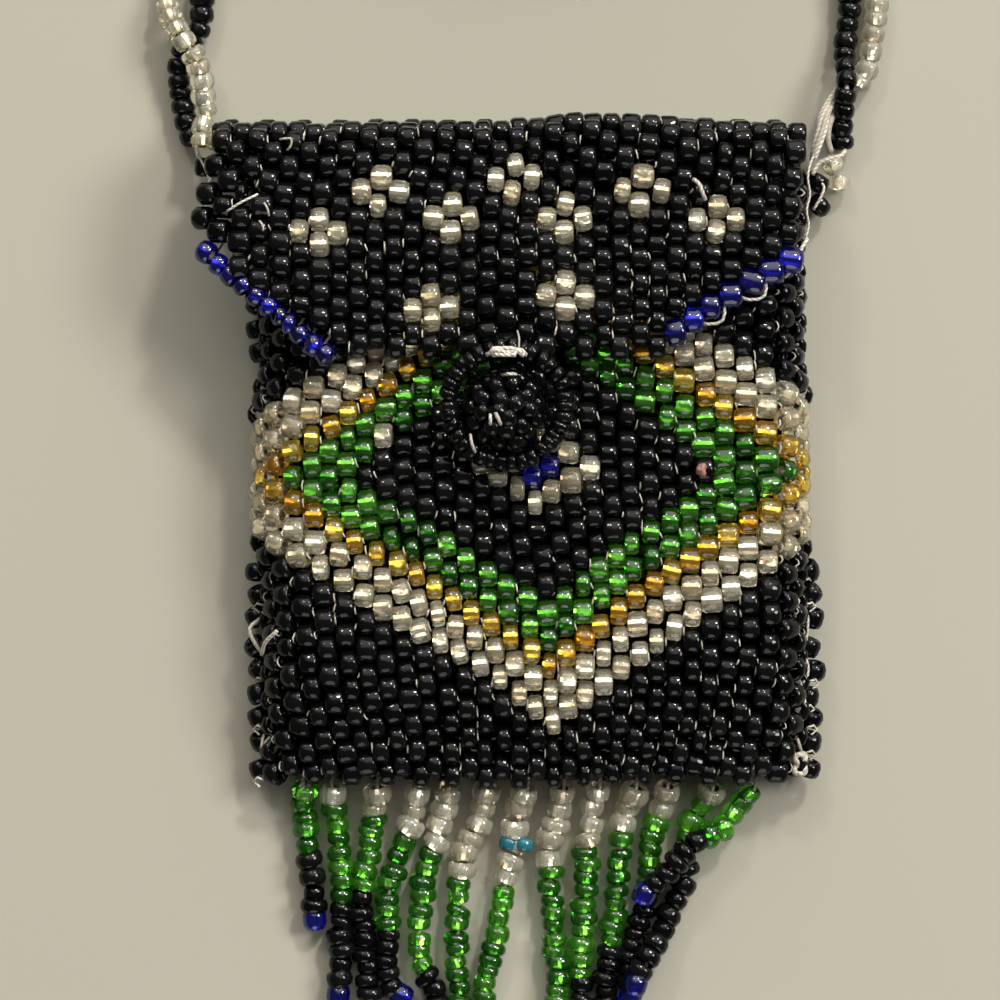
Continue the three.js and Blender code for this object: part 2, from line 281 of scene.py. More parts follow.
# Emerald is in the weave, with a brighter green copy in the fringe; crystal is in the weave, with a brighter,
# whiter copy on the strap and the fringe; cobalt is in the heart and the fringe's tips, with a darker copy
# along the flap. The green and crystal copies are brighter as painted light, which makes the fringe and the
# strap look more brightly lit; the crystal copy is also whiter in colour.
FINISHES = {
    "jet": bead_glass("jet", (0.0009, 0.0009, 0.0010), (0.0030, 0.0030, 0.0031), 0.0,
                      smooth=0.04, dull=0.13, ripple=0.6, shine=0.19),
    "emerald": bead_glass("emerald", (0.013, 0.17, 0.006), (0.125, 0.49, 0.04), 0.94),
    # painted light: a brighter copy of emerald, for the fringe's beads
    "lit_emerald": bead_glass("lit_emerald", (0.022, 0.28, 0.007), (0.18, 0.72, 0.05), 0.94),
    "gold": bead_glass("gold", (0.76, 0.37, 0.011), (0.92, 0.68, 0.10), 0.94),
    "crystal": bead_glass("crystal", (0.92, 0.82, 0.57), (1.0, 0.94, 0.73), 0.91),
    # painted light: a brighter copy of crystal, also whiter, for the strap's and the fringe's beads
    "lit_crystal": bead_glass("lit_crystal", (0.94, 0.87, 0.68), (1.0, 0.98, 0.83), 0.88),
    "cobalt": bead_glass("cobalt", (0.003, 0.004, 0.16), (0.012, 0.016, 0.55), 0.9),
    "ink": bead_glass("ink", (0.002, 0.0025, 0.10), (0.008, 0.010, 0.36), 0.9),
    "turquoise": bead_glass("turquoise", (0.012, 0.10, 0.14), (0.02, 0.165, 0.21), 0.4),
    "lining": silver_lining(),
    "thread": thread_finish("thread", (0.24, 0.21, 0.16), (0.66, 0.62, 0.53), 0.3),
    "chip": bead_glass("chip", (0.15, 0.06, 0.045), (0.25, 0.12, 0.09), 0.0, smooth=0.5, dull=0.8),
}

# ---- mesh helpers


def belong(piece, body, slot, *nodes):
    """The piece rides on a body and, if nodes are named, stands for them. slot is not used."""
    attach(piece, body)
    if nodes:
        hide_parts(*nodes)


def unit(vectors):
    """Vectors of any array shape, each divided by its own length."""
    return vectors / np.maximum(np.linalg.norm(vectors, axis=-1, keepdims=True), 1e-12)


def mix(first, second, share):
    """The value between first and second at share."""
    return first + (second - first) * share


def smooth_step(value, low, high):
    """0 below low and 1 above high, with a soft S between."""
    share = np.clip((value - low) / (high - low), 0, 1)
    return share * share * (3 - 2 * share)


def quad_mesh(name, vertices, quads, finishes, tone, finish_of_quad=None, uv=None):
    """An object from whole arrays: vertices (n, 3) in millimetres and quads (m, 4).

    It is shaded smooth, apart from the silvered holes, whose cut walls have flat sides.
    """
    mesh = bpy.data.meshes.new(name)
    mesh.vertices.add(len(vertices))
    mesh.vertices.foreach_set("co", (vertices * MM).astype(np.float32).ravel())
    mesh.loops.add(quads.size)
    mesh.loops.foreach_set("vertex_index", quads.astype(np.int32).ravel())
    mesh.polygons.add(len(quads))
    mesh.polygons.foreach_set("loop_start", np.arange(0, quads.size, 4, dtype=np.int32))
    mesh.polygons.foreach_set("loop_total", np.full(len(quads), 4, np.int32))
    for finish in finishes:
        mesh.materials.append(FINISHES[finish])
    if finish_of_quad is not None:
        mesh.polygons.foreach_set("material_index", finish_of_quad.astype(np.int32))
    if uv is not None:
        layer = mesh.uv_layers.new(name="run")
        layer.data.foreach_set("uv", uv.astype(np.float32).ravel())
    mesh.update(calc_edges=True)
    mesh.validate()
    mesh.shade_smooth()
    if finish_of_quad is not None and "lining" in finishes:
        mesh.polygons.foreach_set("use_smooth", finish_of_quad != finishes.index("lining"))
    attribute = mesh.attributes.new("tone", "FLOAT", "POINT")
    attribute.data.foreach_set("value", tone.astype(np.float32))
    piece = bpy.data.objects.new(name, mesh)
    bpy.context.scene.collection.objects.link(piece)
    return piece


# ---- beads

# Half of a bead's outline beside its hole, as (place along the hole, distance from the middle line), for a
# bead that is 1.5 long and 2.1 across: square-shouldered ones for the weaves and round ones for the strands.
BEAD_OUTLINES = [
    [(-0.55, 0.42), (-0.74, 0.64), (-0.70, 0.89), (-0.44, 1.05), (0.44, 1.05), (0.70, 0.89), (0.74, 0.64),
     (0.55, 0.42)],
    [(-0.60, 0.42), (-0.75, 0.62), (-0.66, 0.88), (-0.30, 1.05), (0.30, 1.05), (0.66, 0.88), (0.75, 0.62),
     (0.60, 0.42)],
]
WEAVE_BEAD, ROUND_BEAD = 0, 1  # the two outlines' places in the list
BEAD_LENGTH = 1.5
BEAD_SIDES = 10


def bead_shape(outline):
    """The outline turned about the hole in BEAD_SIDES steps: points as (along, up, aside) and quads."""
    outline = np.array(outline)
    angle = np.arange(BEAD_SIDES) * 2 * math.pi / BEAD_SIDES
    along = np.repeat(outline[:, :1], BEAD_SIDES, axis=1)
    points = np.stack([along, outline[:, 1:] * np.cos(angle), outline[:, 1:] * np.sin(angle)], axis=2)
    ring, side = np.meshgrid(np.arange(len(outline)), np.arange(BEAD_SIDES), indexing="ij")
    next_ring, next_side = (ring + 1) % len(outline), (side + 1) % BEAD_SIDES
    corners = [(ring, side), (ring, next_side), (next_ring, next_side), (next_ring, side)]
    quads = np.stack([a * BEAD_SIDES + b for a, b in corners], axis=2).reshape(-1, 4)
    in_hole = (ring == len(outline) - 1).ravel()
    return points.reshape(-1, 3), quads, in_hole


BEAD_POINTS = np.stack([bead_shape(outline)[0] for outline in BEAD_OUTLINES])
_, BEAD_QUADS, BEAD_HOLE = bead_shape(BEAD_OUTLINES[0])
BEAD_CORNERS = BEAD_POINTS.shape[1]


def turn_about(vectors, axis, angle):
    """Vectors turned about unit axes by angles (Rodrigues' formula), row by row."""
    cosine, sine = np.cos(angle)[:, None], np.sin(angle)[:, None]
    along = (vectors * axis).sum(axis=1, keepdims=True) * axis
    return vectors * cosine + np.cross(axis, vectors) * sine + along * (1 - cosine)


FLOOR_ROOM = 0.06  # under beads that lie on the floor, as leaning ones reach lower than half their diameter


class Beads:
    """Beads as whole arrays: middles, hole directions, up directions, lengths, diameters and finishes.

    lined says whose holes are silvered, outline which shape they have and tone how deep their colour is.
    """

    def __init__(self, middle, hole, up, length, width, finish, lined=False, outline=WEAVE_BEAD):
        self.middle = np.array(middle, float)
        count = len(self.middle)
        self.hole = unit(np.broadcast_to(hole, (count, 3)).astype(float))
        up = np.broadcast_to(up, (count, 3)).astype(float)
        self.up = unit(up - (up * self.hole).sum(axis=1, keepdims=True) * self.hole)
        self.length = np.broadcast_to(length, count).astype(float)
        self.width = np.broadcast_to(width, count).astype(float)
        self.finish = np.broadcast_to(finish, count).astype("U12")
        self.lined = np.broadcast_to(lined, count).astype(bool)
        self.outline = np.broadcast_to(outline, count).astype(int)
        self.tone = rng.random(count)

    def pick(self, chosen):
        """Only the chosen beads."""
        part = Beads.__new__(Beads)
        for key, value in vars(self).items():
            setattr(part, key, value[chosen])
        return part

    def jumble(self, shift, tilt, length_spread, width_spread):
        """Each bead moved, leaned and resized a little, as handwork leaves them."""
        count = len(self.middle)
        self.middle = self.middle + rng.normal(0, shift, (count, 3)).clip(-2 * shift, 2 * shift)
        self.hole = turn_about(self.hole, self.up, rng.normal(0, tilt, count))
        side = np.cross(self.hole, self.up)
        self.hole = turn_about(self.hole, side, rng.normal(0, 0.6 * tilt, count))
        self.up = unit(self.up - (self.up * self.hole).sum(axis=1, keepdims=True) * self.hole)
        self.up = turn_about(self.up, self.hole, rng.uniform(-math.pi, math.pi, count))
        self.length = self.length * np.clip(1 + rng.normal(0, length_spread, count), 0.72, 1.25)
        self.width = self.width * np.clip(1 + rng.normal(0, width_spread, count), 0.85, 1.1)
        return self

    def keep_off_floor(self):
        """Beads that would dip into what the bag lies on come to rest on it."""
        self.middle[:, 2] = np.maximum(self.middle[:, 2], 0.5 * self.width + FLOOR_ROOM)
        return self

    def arrays(self):
        """Points and quads: the bead shape laid along every bead's own three axes."""
        aside = np.cross(self.hole, self.up)
        stretch = (self.length / BEAD_LENGTH)[:, None, None]
        swell = (self.width / BEAD)[:, None, None]
        shape = BEAD_POINTS[self.outline]
        points = (
            self.middle[:, None]
            + self.hole[:, None] * shape[:, :, :1] * stretch
            + self.up[:, None] * shape[:, :, 1:2] * swell
            + aside[:, None] * shape[:, :, 2:] * swell
        )
        starts = np.arange(len(self.middle)) * BEAD_CORNERS
        quads = BEAD_QUADS[None] + starts[:, None, None]
        return points.reshape(-1, 3), quads.reshape(-1, 4)


def join_beads(parts):
    """Several sets of beads as one."""
    joined = Beads.__new__(Beads)
    for key in vars(parts[0]):
        setattr(joined, key, np.concatenate([getattr(part, key) for part in parts]))
    return joined


def bead_piece(name, beads, threads=None):
    """One mesh of all the beads, with a material for each finish, one for silvered holes, and thread."""
    points, quads = beads.arrays()
    finishes = list(dict.fromkeys(beads.finish))
    number = np.array([finishes.index(finish) for finish in beads.finish])
    finishes.append("lining")
    of_quad = np.repeat(number[:, None], len(BEAD_QUADS), axis=1)
    of_quad[np.ix_(beads.lined, BEAD_HOLE)] = len(finishes) - 1
    of_quad = of_quad.ravel()
    tone = np.repeat(beads.tone, BEAD_CORNERS)
    uv = np.zeros((quads.size, 2))
    if threads is not None:
        thread_points, thread_quads, thread_uv, thread_tone = threads
        of_quad = np.concatenate([of_quad, np.full(len(thread_quads), len(finishes))])
        finishes.append("thread")
        quads = np.concatenate([quads, thread_quads + len(points)])
        points = np.concatenate([points, thread_points])
        tone = np.concatenate([tone, thread_tone])
        uv = np.concatenate([uv, thread_uv])
    used = np.unique(of_quad)
    of_quad = np.searchsorted(used, of_quad)
    return quad_mesh(name, points, quads, [finishes[i] for i in used], tone, of_quad, uv)


# ---- threads

THREAD_SIDES = 6


def thread_arrays(routes, radius):
    """Closed round threads of one number of points each. routes (n, k, 3); radius is a number or (n, k).

    At every point a ring of THREAD_SIDES points stands square to the route; two quads close each end.
    """
    routes = np.asarray(routes, float)
    count, steps, _ = routes.shape
    radius = np.broadcast_to(radius, (count, steps))[..., None, None]
    heading = unit(np.gradient(routes, axis=1))
    span = unit(routes[:, -1:] - routes[:, :1] + 1e-9)
    helper = np.where(np.abs(span[..., 2:]) > 0.8, [[[1.0, 0, 0]]], [[[0, 0, 1.0]]])  # never along a route
    side = unit(np.cross(heading, np.broadcast_to(helper, heading.shape)))
    lift = np.cross(side, heading)
    angle = np.arange(THREAD_SIDES) * 2 * math.pi / THREAD_SIDES
    ring = side[:, :, None] * np.cos(angle)[:, None] + lift[:, :, None] * np.sin(angle)[:, None]
    points = (routes[:, :, None] + ring * radius).reshape(-1, 3)

    first = np.arange(count)[:, None, None] * steps * THREAD_SIDES
    ring_start = first + np.arange(steps - 1)[None, :, None] * THREAD_SIDES
    near, beside = np.arange(THREAD_SIDES), (np.arange(THREAD_SIDES) + 1) % THREAD_SIDES
    corners = (near, near + THREAD_SIDES, beside + THREAD_SIDES, beside)
    walls = np.stack([ring_start + corner for corner in corners], axis=-1)
    near_end = np.array([[0, 1, 2, 3], [0, 3, 4, 5]])
    far_end = near_end[:, ::-1] + (steps - 1) * THREAD_SIDES
    ends = first + np.concatenate([near_end, far_end])
    quads = np.concatenate([walls.reshape(-1, 4), ends.reshape(-1, 4)])

    lengths = np.linalg.norm(np.diff(routes, axis=1), axis=2)
    run = np.concatenate([np.zeros((count, 1)), np.cumsum(lengths, axis=1)], axis=1)
    down = np.broadcast_to(run[:, :, None], (count, steps, THREAD_SIDES))
    around = np.broadcast_to(np.arange(THREAD_SIDES) / THREAD_SIDES, down.shape)
    of_point = np.stack([around, down], axis=-1).reshape(-1, 2)
    uv = of_point[quads]
    across_seam = np.ptp(uv[..., 0], axis=1, keepdims=True) > 0.5
    uv[..., 0] += across_seam & (uv[..., 0] < 0.5)
    tone = np.repeat(rng.random(count), steps * THREAD_SIDES)
    return points, quads, uv.reshape(-1, 2), tone


def join_threads(parts):
    """Several results of thread_arrays as one."""
    starts = np.cumsum([0] + [len(part[0]) for part in parts[:-1]])
    return (
        np.concatenate([part[0] for part in parts]),
        np.concatenate([part[1] + start for part, start in zip(parts, starts)]),
        np.concatenate([part[2] for part in parts]),
        np.concatenate([part[3] for part in parts]),
    )


def thread_piece(name, parts):
    """One mesh of thread alone."""
    points, quads, uv, tone = join_threads(parts)
    return quad_mesh(name, points, quads, ["thread"], tone, uv=uv)


# ---- routes


def smooth_route(points, step=0.35):
    """A smooth line through points: a cubic between each two, whose slope at a point is its neighbours'."""
    points = np.array(points, float)
    knots = np.concatenate([[0], np.cumsum(np.linalg.norm(np.diff(points, axis=0), axis=1))])
    slope = np.gradient(points, knots, axis=0)
    run = np.linspace(0, knots[-1], max(4, int(knots[-1] / step)))
    span = np.clip(np.searchsorted(knots, run, side="right") - 1, 0, len(points) - 2)
    width = (knots[span + 1] - knots[span])[:, None]
    u = (run - knots[span])[:, None] / width
    return (
        (2 * u**3 - 3 * u**2 + 1) * points[span]
        + (u**3 - 2 * u**2 + u) * width * slope[span]
        + (3 * u**2 - 2 * u**3) * points[span + 1]
        + (u**3 - u**2) * width * slope[span + 1]
    )


def route_length(route):
    """A route's length, as the sum of its steps."""
    return np.linalg.norm(np.diff(route, axis=0), axis=1).sum()


def loose_threads(ends):
    """A thread along each of ends, which are radii and the places passed."""
    return [thread_arrays([smooth_route(places)], radius) for radius, places in ends]


def walk(route, distances, glance=0.3):
    """Places and headings at distances along a route. A heading runs from glance behind to glance ahead."""
    run = np.concatenate([[0], np.cumsum(np.linalg.norm(np.diff(route, axis=0), axis=1))])
    place, ahead, behind = (
        np.stack([np.interp(distances + offset, run, route[:, axis]) for axis in range(3)], axis=1)
        for offset in (0, glance, -glance)
    )
    return place, unit(ahead - behind)


LONG_BEAD = 1.25


def threaded(route, finishes, width=2.0, fill=0.98, lined=False, tilt=0.12, length_spread=0.1, stray=0.03):
    """Beads along a route, one for each name in finishes, each as long as its share of the route.

    Beads of the brighter, whiter crystal copy are longer ones, by LONG_BEAD. fill is the share of its stretch
    that a bead takes up.
    """
    total = route_length(route)
    share = np.clip(1 + rng.normal(0, length_spread, len(finishes)), 0.7, 1.35)
    share = share * np.where(np.array(finishes) == "lit_crystal", LONG_BEAD, 1)
    edges = np.concatenate([[0], np.cumsum(share)]) / share.sum() * total
    middle, heading = walk(route, (edges[1:] + edges[:-1]) / 2)
    beads = Beads(middle, heading, (0.13, 0.2, 1), np.diff(edges) * fill, width, finishes, lined, ROUND_BEAD)
    return beads.jumble(stray, tilt, 0.0, 0.04 + stray / 2)


# ---- the strap: two strands, each wound up flat past the fold, the crystal one on the black one

STRAP = {
    "black": {
        "left": [(-27.1, 39.9, 1.1), (-27.6, 41.1, 1.1), (-28.1, 42.8, 1.1), (-28.4, 44.8, 1.1),
                 (-28.5, 46.7, 1.1), (-27.8, 48.4, 1.1), (-26.6, 50, 1.1), (-26.5, 52.4, 1.1),
                 (-24.9, 57.5, 1.1), (-20.8, 64.5, 1.1), (-17.4, 70.4, 1.1)],
        "right": [(28.8, 39.6, 1.1), (28.5, 40.9, 1.5), (28.6, 42.7, 2.6), (28.8, 44.5, 3.3),
                  (28.8, 46, 2.6), (28.8, 47.5, 1.5), (29, 49.6, 1.1), (29.3, 52.4, 1.1),
                  (28.2, 57.5, 1.1), (24, 64.5, 1.1), (20, 71, 1.9)],
        "levels": (1.05, 3.15),
        "arrival": [(-15, 75.3, 1.1)],
        "departure": [(17.2, 75.6, 2.8)],
    },
    "crystal": {
        "left": [(-26.1, 42.3, 1.3), (-26.3, 43.8, 1.5), (-26.5, 45.6, 2.3), (-26.9, 47.2, 3.1),
                 (-27.7, 48.4, 3.4), (-28.9, 50.4, 2.4), (-29.5, 52.4, 1.3), (-28.4, 57.5, 1.1),
                 (-24.4, 65, 1.6), (-20, 71.5, 3.6)],
        "right": [(29.9, 44.8, 1.1), (30.7, 46.2, 1.1), (31, 47.4, 1.1), (31.3, 49.4, 1.1),
                  (31.6, 52.4, 1.1), (31.2, 57.5, 1.1), (28, 64.5, 1.7), (22.9, 71, 4)],
        "levels": (5.65, 7.7),
        "arrival": [(-15.7, 75.8, 5.2)],
        "departure": [(17.8, 75.6, 6.7)],
    },
}
COIL = {"x": 1, "y": 80, "outer": 15.3, "inner": 6.2, "turns": 4.25}
COIL_POINTS = 24  # for each turn
STRAP_PITCH = 1.32  # from bead to bead


def coil_turns(levels):
    """A flat spiral inwards on the lower level, and outwards again on the upper one, turning clockwise."""
    turns = COIL["turns"]
    turned = np.linspace(0, 2 * turns, int(2 * turns * COIL_POINTS) + 1)
    inward = 1 - np.abs(turned / turns - 1)
    radius = mix(COIL["outer"], COIL["inner"], inward)
    angle = math.pi - 2 * math.pi * turned
    level = mix(levels[0], levels[1], smooth_step(turned, turns - 0.3, turns + 0.3))
    return np.stack([COIL["x"] + radius * np.cos(angle), COIL["y"] + radius * np.sin(angle), level], axis=1)


def strap_strand(name):
    """One strand from the bag's left corner through its coil to the right corner."""
    plan = STRAP[name]
    turns = coil_turns(plan["levels"])
    points = np.concatenate([plan["left"], plan["arrival"], turns[1:-1],
                             plan["departure"], plan["right"][::-1]])
    route = smooth_route(points)
    count = int(route_length(route) / STRAP_PITCH)
    # the crystal strand takes the brighter, whiter copy of crystal: painted light
    finish = "jet" if name == "black" else "lit_crystal"
    beads = threaded(route, [finish] * count, width=2.05, lined=finish != "jet", tilt=0.1).keep_off_floor()
    core = thread_arrays([smooth_route(points, 0.9)], 0.22)
    strand = bead_piece(f"strap_{name}_strand", beads, core)
    path = [[float(value) * MM for value in point] for point in smooth_route(points, 1.2)]
    return strand, path


def make_strap():
    """Both strands, each riding on the pouch in place of its strap nodes."""
    for name, slot in (("black", "jet"), ("crystal", "crystal")):
        strand, path = strap_strand(name)
        belong(strand, "pouch", slot, f"strap_{name}_left", f"strap_{name}_right", f"strap_coil_{name}")


# What holds the strands' ends to the bag's corners: loose beads, each a diameter, its finishes, whether its
# hole is silvered and a route, and thread, each a radius and the places it passes.
TIE_BEADS = {
    "left": [
        (1.5, ["jet"], False, [(-26.4, 38.7, 2.4), (-26.3, 37.1, 2.3)]),
        (1.9, ["lit_crystal", "lit_crystal"], True, [(-26.15, 41.9, 2.6), (-26.3, 40.7, 3.4), (-26.2, 39.4, 3.9)]),
    ],
    "right": [
        (1.9, ["lit_crystal"], False, [(28.3, 38.5, 1.7), (27.2, 37.7, 2.3)]),
        (1.9, ["lit_crystal"], False, [(28.4, 37.3, 1.2), (28.3, 36.1, 1.2)]),
        (2.2, ["jet"], False, [(26.7, 37.3, 1.9), (26.1, 35.9, 1.9)]),
        (2.3, ["jet"], False, [(27.1, 35.2, 1.5), (26.1, 34.2, 1.5)]),
    ],
}
TIE_ENDS = {
    "left": [
        (0.17, [(-27.0, 39.9, 1.6), (-26.7, 38.9, 2.6), (-26.0, 37.6, 3.0), (-25.6, 36.6, 3.2),
                (-26.1, 35.2, 3.0), (-25.7, 33.9, 3.4)]),
        (0.2, [(-26.1, 42.2, 1.6), (-26.3, 40.9, 2.2), (-26.0, 39.8, 2.6), (-25.4, 39.3, 3.4)]),
    ],
    "right": [
        (0.3, [(28.3, 44.2, 1.7), (28.0, 42.9, 2.2), (27.3, 41.4, 2.9), (27.2, 40.2, 2.9),
               (27.5, 39.2, 2.4)]),
        (0.1, [(26.2, 39.2, 3.4), (25.7, 38.2, 3.8), (25.4, 36.8, 4.2), (25.6, 35.4, 4.0), (25.3, 34.0, 4.2),
               (25.5, 32.8, 4.0), (25.2, 31.6, 4.2)]),
        (0.2, [(28.9, 40.2, 1.4), (28.6, 39.0, 2.1), (27.6, 38.6, 2.6), (26.5, 38.2, 2.6),
               (25.9, 37.2, 2.8)]),
        (0.12, [(26.2, 36.9, 2.4), (26.9, 36.2, 2.9), (26.6, 35.2, 2.9), (26.0, 34.2, 2.7)]),
    ],
}
WAXED_THREADS = 5
WAXED_ROUTE = [(28.1, 44.6, 2.0), (27.5, 43.4, 2.6), (26.9, 42.2, 3.2), (26.6, 40.9, 3.5), (26.2, 39.4, 3.5),
               (25.9, 38.4, 3.3)]


def waxed_bundle():
    """Threads twisted loosely about one route, furthest apart at its middle."""
    route = smooth_route(WAXED_ROUTE)
    along = np.linspace(0, 1, len(route))
    turn = np.arange(WAXED_THREADS)[:, None] * 2 * math.pi / WAXED_THREADS + 2.2 * along
    apart = 0.1 + 0.22 * np.sin(math.pi * along) ** 0.7
    return route + np.stack([np.cos(turn) * apart, 0 * turn, np.sin(turn) * apart], axis=2)


def make_ties():
    """Both ends of the strap. The result is the ties that each strand ends in."""
    ties = []
    for side in ("left", "right"):
        beads = join_beads([
            threaded(smooth_route(places), finishes, width=width, lined=lined)
            for width, finishes, lined, places in TIE_BEADS[side]
        ])
        bundle = [thread_arrays(waxed_bundle(), 0.2)] if side == "right" else []
        tie = bead_piece(f"strap_tie_{side}", beads, join_threads(bundle + loose_threads(TIE_ENDS[side])))
        belong(tie, "pouch", "thread", f"strap_knot_{side}")
        ties.append(tie)
    return {"black": ties, "crystal": []}


STRAP_TIES = make_ties()
make_strap()

# ---- weaves


WAVE_SIZES = (0.16, 0.1, 0.07)


def lean(x, y, seed):
    """The soft waves of a hand-woven sheet, as shifts in x, y and z: a sum of slow sines."""
    wave = np.random.default_rng(seed)
    shift = np.zeros((3, *np.shape(x)))
    for size in WAVE_SIZES:
        pace, phase = wave.uniform(0.12, 0.42, (3, 2)), wave.uniform(0, 2 * math.pi, (3, 2))
        for i in range(3):
            shift[i] += size * np.sin(pace[i, 0] * x + phase[i, 0]) * np.sin(pace[i, 1] * y + phase[i, 1])
    return shift


SQUARENESS = 0.8
WALL_SHARE = 0.3  # of the section's steps, on each side
SHOULDERS = {"left": 6.0, "right": 3.6}  # how far in from its sides the front's top levels out


def section_point(share, left, right, rise):
    """A point of the front's section at a share of its length, as x and a height.

    The section is a round-shouldered wall up, a straight roof and such a wall down again. Each wall is a
    quarter of an ellipse whose cosine and sine are raised to SQUARENESS, which makes its corner fuller.
    """
    steps = np.linspace(0, 1, 49)
    turn = np.clip(steps / WALL_SHARE, 0, 1) + np.clip((steps + WALL_SHARE - 1) / WALL_SHARE, 0, 1)
    angle = math.pi * (1 - turn / 2)
    roof = np.clip((steps - WALL_SHARE) / (1 - 2 * WALL_SHARE), 0, 1)
    outwards = np.abs(np.cos(angle)) ** SQUARENESS
    shoulder = np.where(np.cos(angle) < 0, -SHOULDERS["left"], SHOULDERS["right"])
    inner_left, inner_right = left + SHOULDERS["left"], right - SHOULDERS["right"]
    x = mix(inner_left[:, None], inner_right[:, None], roof) + shoulder * outwards
    z = rise[:, None] * np.sin(angle).clip(0) ** SQUARENESS
    run = np.hypot(np.diff(x, axis=1), np.diff(z, axis=1)).cumsum(axis=1)
    run = np.concatenate([np.zeros((len(x), 1)), run], axis=1)
    target = share * run[:, -1]
    index = np.clip((run <= target[:, None]).sum(axis=1) - 1, 0, len(steps) - 2)
    row = np.arange(len(x))
    part = (target - run[row, index]) / (run[row, index + 1] - run[row, index])
    return mix(x[row, index], x[row, index + 1], part), mix(z[row, index], z[row, index + 1], part)


def roof_rise(y):
    """How high the front's roof stands over its sides' feet: it thins towards the bottom seam."""
    thinning = 1 - np.clip((y - SEAM_Y) / TAPER, 0, 1)
    return mix(ROOF_Z - FLANK_Z, BEAD / 2, thinning**2)


FRONT_COLUMNS = 32
FRONT_MIDDLE = 16
FRONT_ROW = 1.07  # a half row, from the mouth to the heart
FRONT_STRETCH = 0.0035  # how the worn lower rows have spread, for each square half row
FRONT_LEAN = 0.075  # the middle columns lean to the right below the heart
FRONT_SHIFT = 0.9  # and stand this far left of the woven middle beside it
ROW_SWELL = 0.004  # how much wider the beads of each lower half row are
LAST_ROW_Y = -13.95
SIDE_SPREAD = {"left": (0.9, 1.7), "right": (0.9, 1.3)}  # how the sides bulge, at least and beside the heart
ROW_SAG = {"left": 0.95, "right": 0.4}  # how far the rows sink towards their ends
COLUMN_CROWDING = 0.05  # how much narrower the middle columns are than the mean
BULGE_STARTS, BULGE_ENDS = (3.5, 7.5), (18.5, 22)  # where the sides' bulge beside the heart grows and goes


def side_bulge(y):
    """How far the sides bulge out over their edge rows, from 0 to 1, most beside the heart."""
    return smooth_step(y, *BULGE_STARTS) * (1 - smooth_step(y, *BULGE_ENDS))


def front_place(column, half_row):
    """A point of the front's middle at a column from its left and a half row down from its heart."""
    across = 2 * (column + 0.5) / FRONT_COLUMNS - 1
    share = 0.5 + 0.5 * across * (1 - COLUMN_CROWDING * (1 - across**4))
    y = HEART[1] - half_row * FRONT_ROW - FRONT_STRETCH * half_row.clip(0) ** 2
    y = np.maximum(y, LAST_ROW_Y)
    left = mix(POUCH_LEFT, MOUTH_LEFT, smooth_step(y, WIDENING_Y, MOUTH_Y)) + BEAD / 2
    left = left - mix(*SIDE_SPREAD["left"], side_bulge(y))
    right = POUCH_RIGHT - BEAD / 2 + mix(*SIDE_SPREAD["right"], side_bulge(y))
    x, z = section_point(share, left, right, roof_rise(y))
    middle = 1 - across**2
    shift = lean(x, y, 41)
    sag = np.where(across < 0, ROW_SAG["left"], ROW_SAG["right"]) * smooth_step(np.abs(across), 0.25, 0.6)
    sag = sag * smooth_step(y, SEAM_Y, 0)
    x = x + (FRONT_LEAN * np.clip(HEART[1] - y, 0, 22) - FRONT_SHIFT + shift[0]) * middle
    return np.stack([x, y - sag + shift[1] * 0.8, FLANK_Z + z + (shift[2] - 0.2) * middle], axis=1)


BACK_COLUMNS = 32


def back_place(column, half_row):
    """A point of the back, flat on what the bag lies on. Half rows count from the bottom seam up."""
    y = SEAM_Y + BEAD / 2 + half_row * HALF_ROW
    widening = smooth_step(y, WIDENING_Y, FOLD_Y)
    left, right = mix(POUCH_LEFT, FOLD_LEFT, widening), mix(POUCH_RIGHT, FOLD_RIGHT, widening)
    x = mix(left, right, (column + 0.5) / BACK_COLUMNS)
    return np.stack([x, y, np.full_like(x, BACK_Z)], axis=1)


FLAP_START = 0.85  # first row's height above the foot of the spine
DROOP = 0.055  # how the flap's overhanging sides sink, for each square millimetre past the pouch
POUCH_EDGES = (-21.5, 23)  # past these the flap has nothing under it
FLAP_TILT = -0.004  # the slope of its rows
FOLD_BULGE, BULGE_X, BULGE_REACH = 0.75, 8, 10  # how far the fold stands out, where, and how far to each side
FLAP_COLUMNS = 32
FLAP_SPREAD = 0.6  # how far its first columns spread out past the fold
FLAP_STRETCH = 0.5  # and how far the rows below the fold have sunk
LEFT_CUT = ((-25.94, 30.4), (-15.0, 21.04))  # the left cut corner's line, from left to right
RIGHT_CUT = 46  # the right cut's slanting row of beads: their columns and half rows add up to this
RIGHT_CUT_COLUMN = 25  # its first column


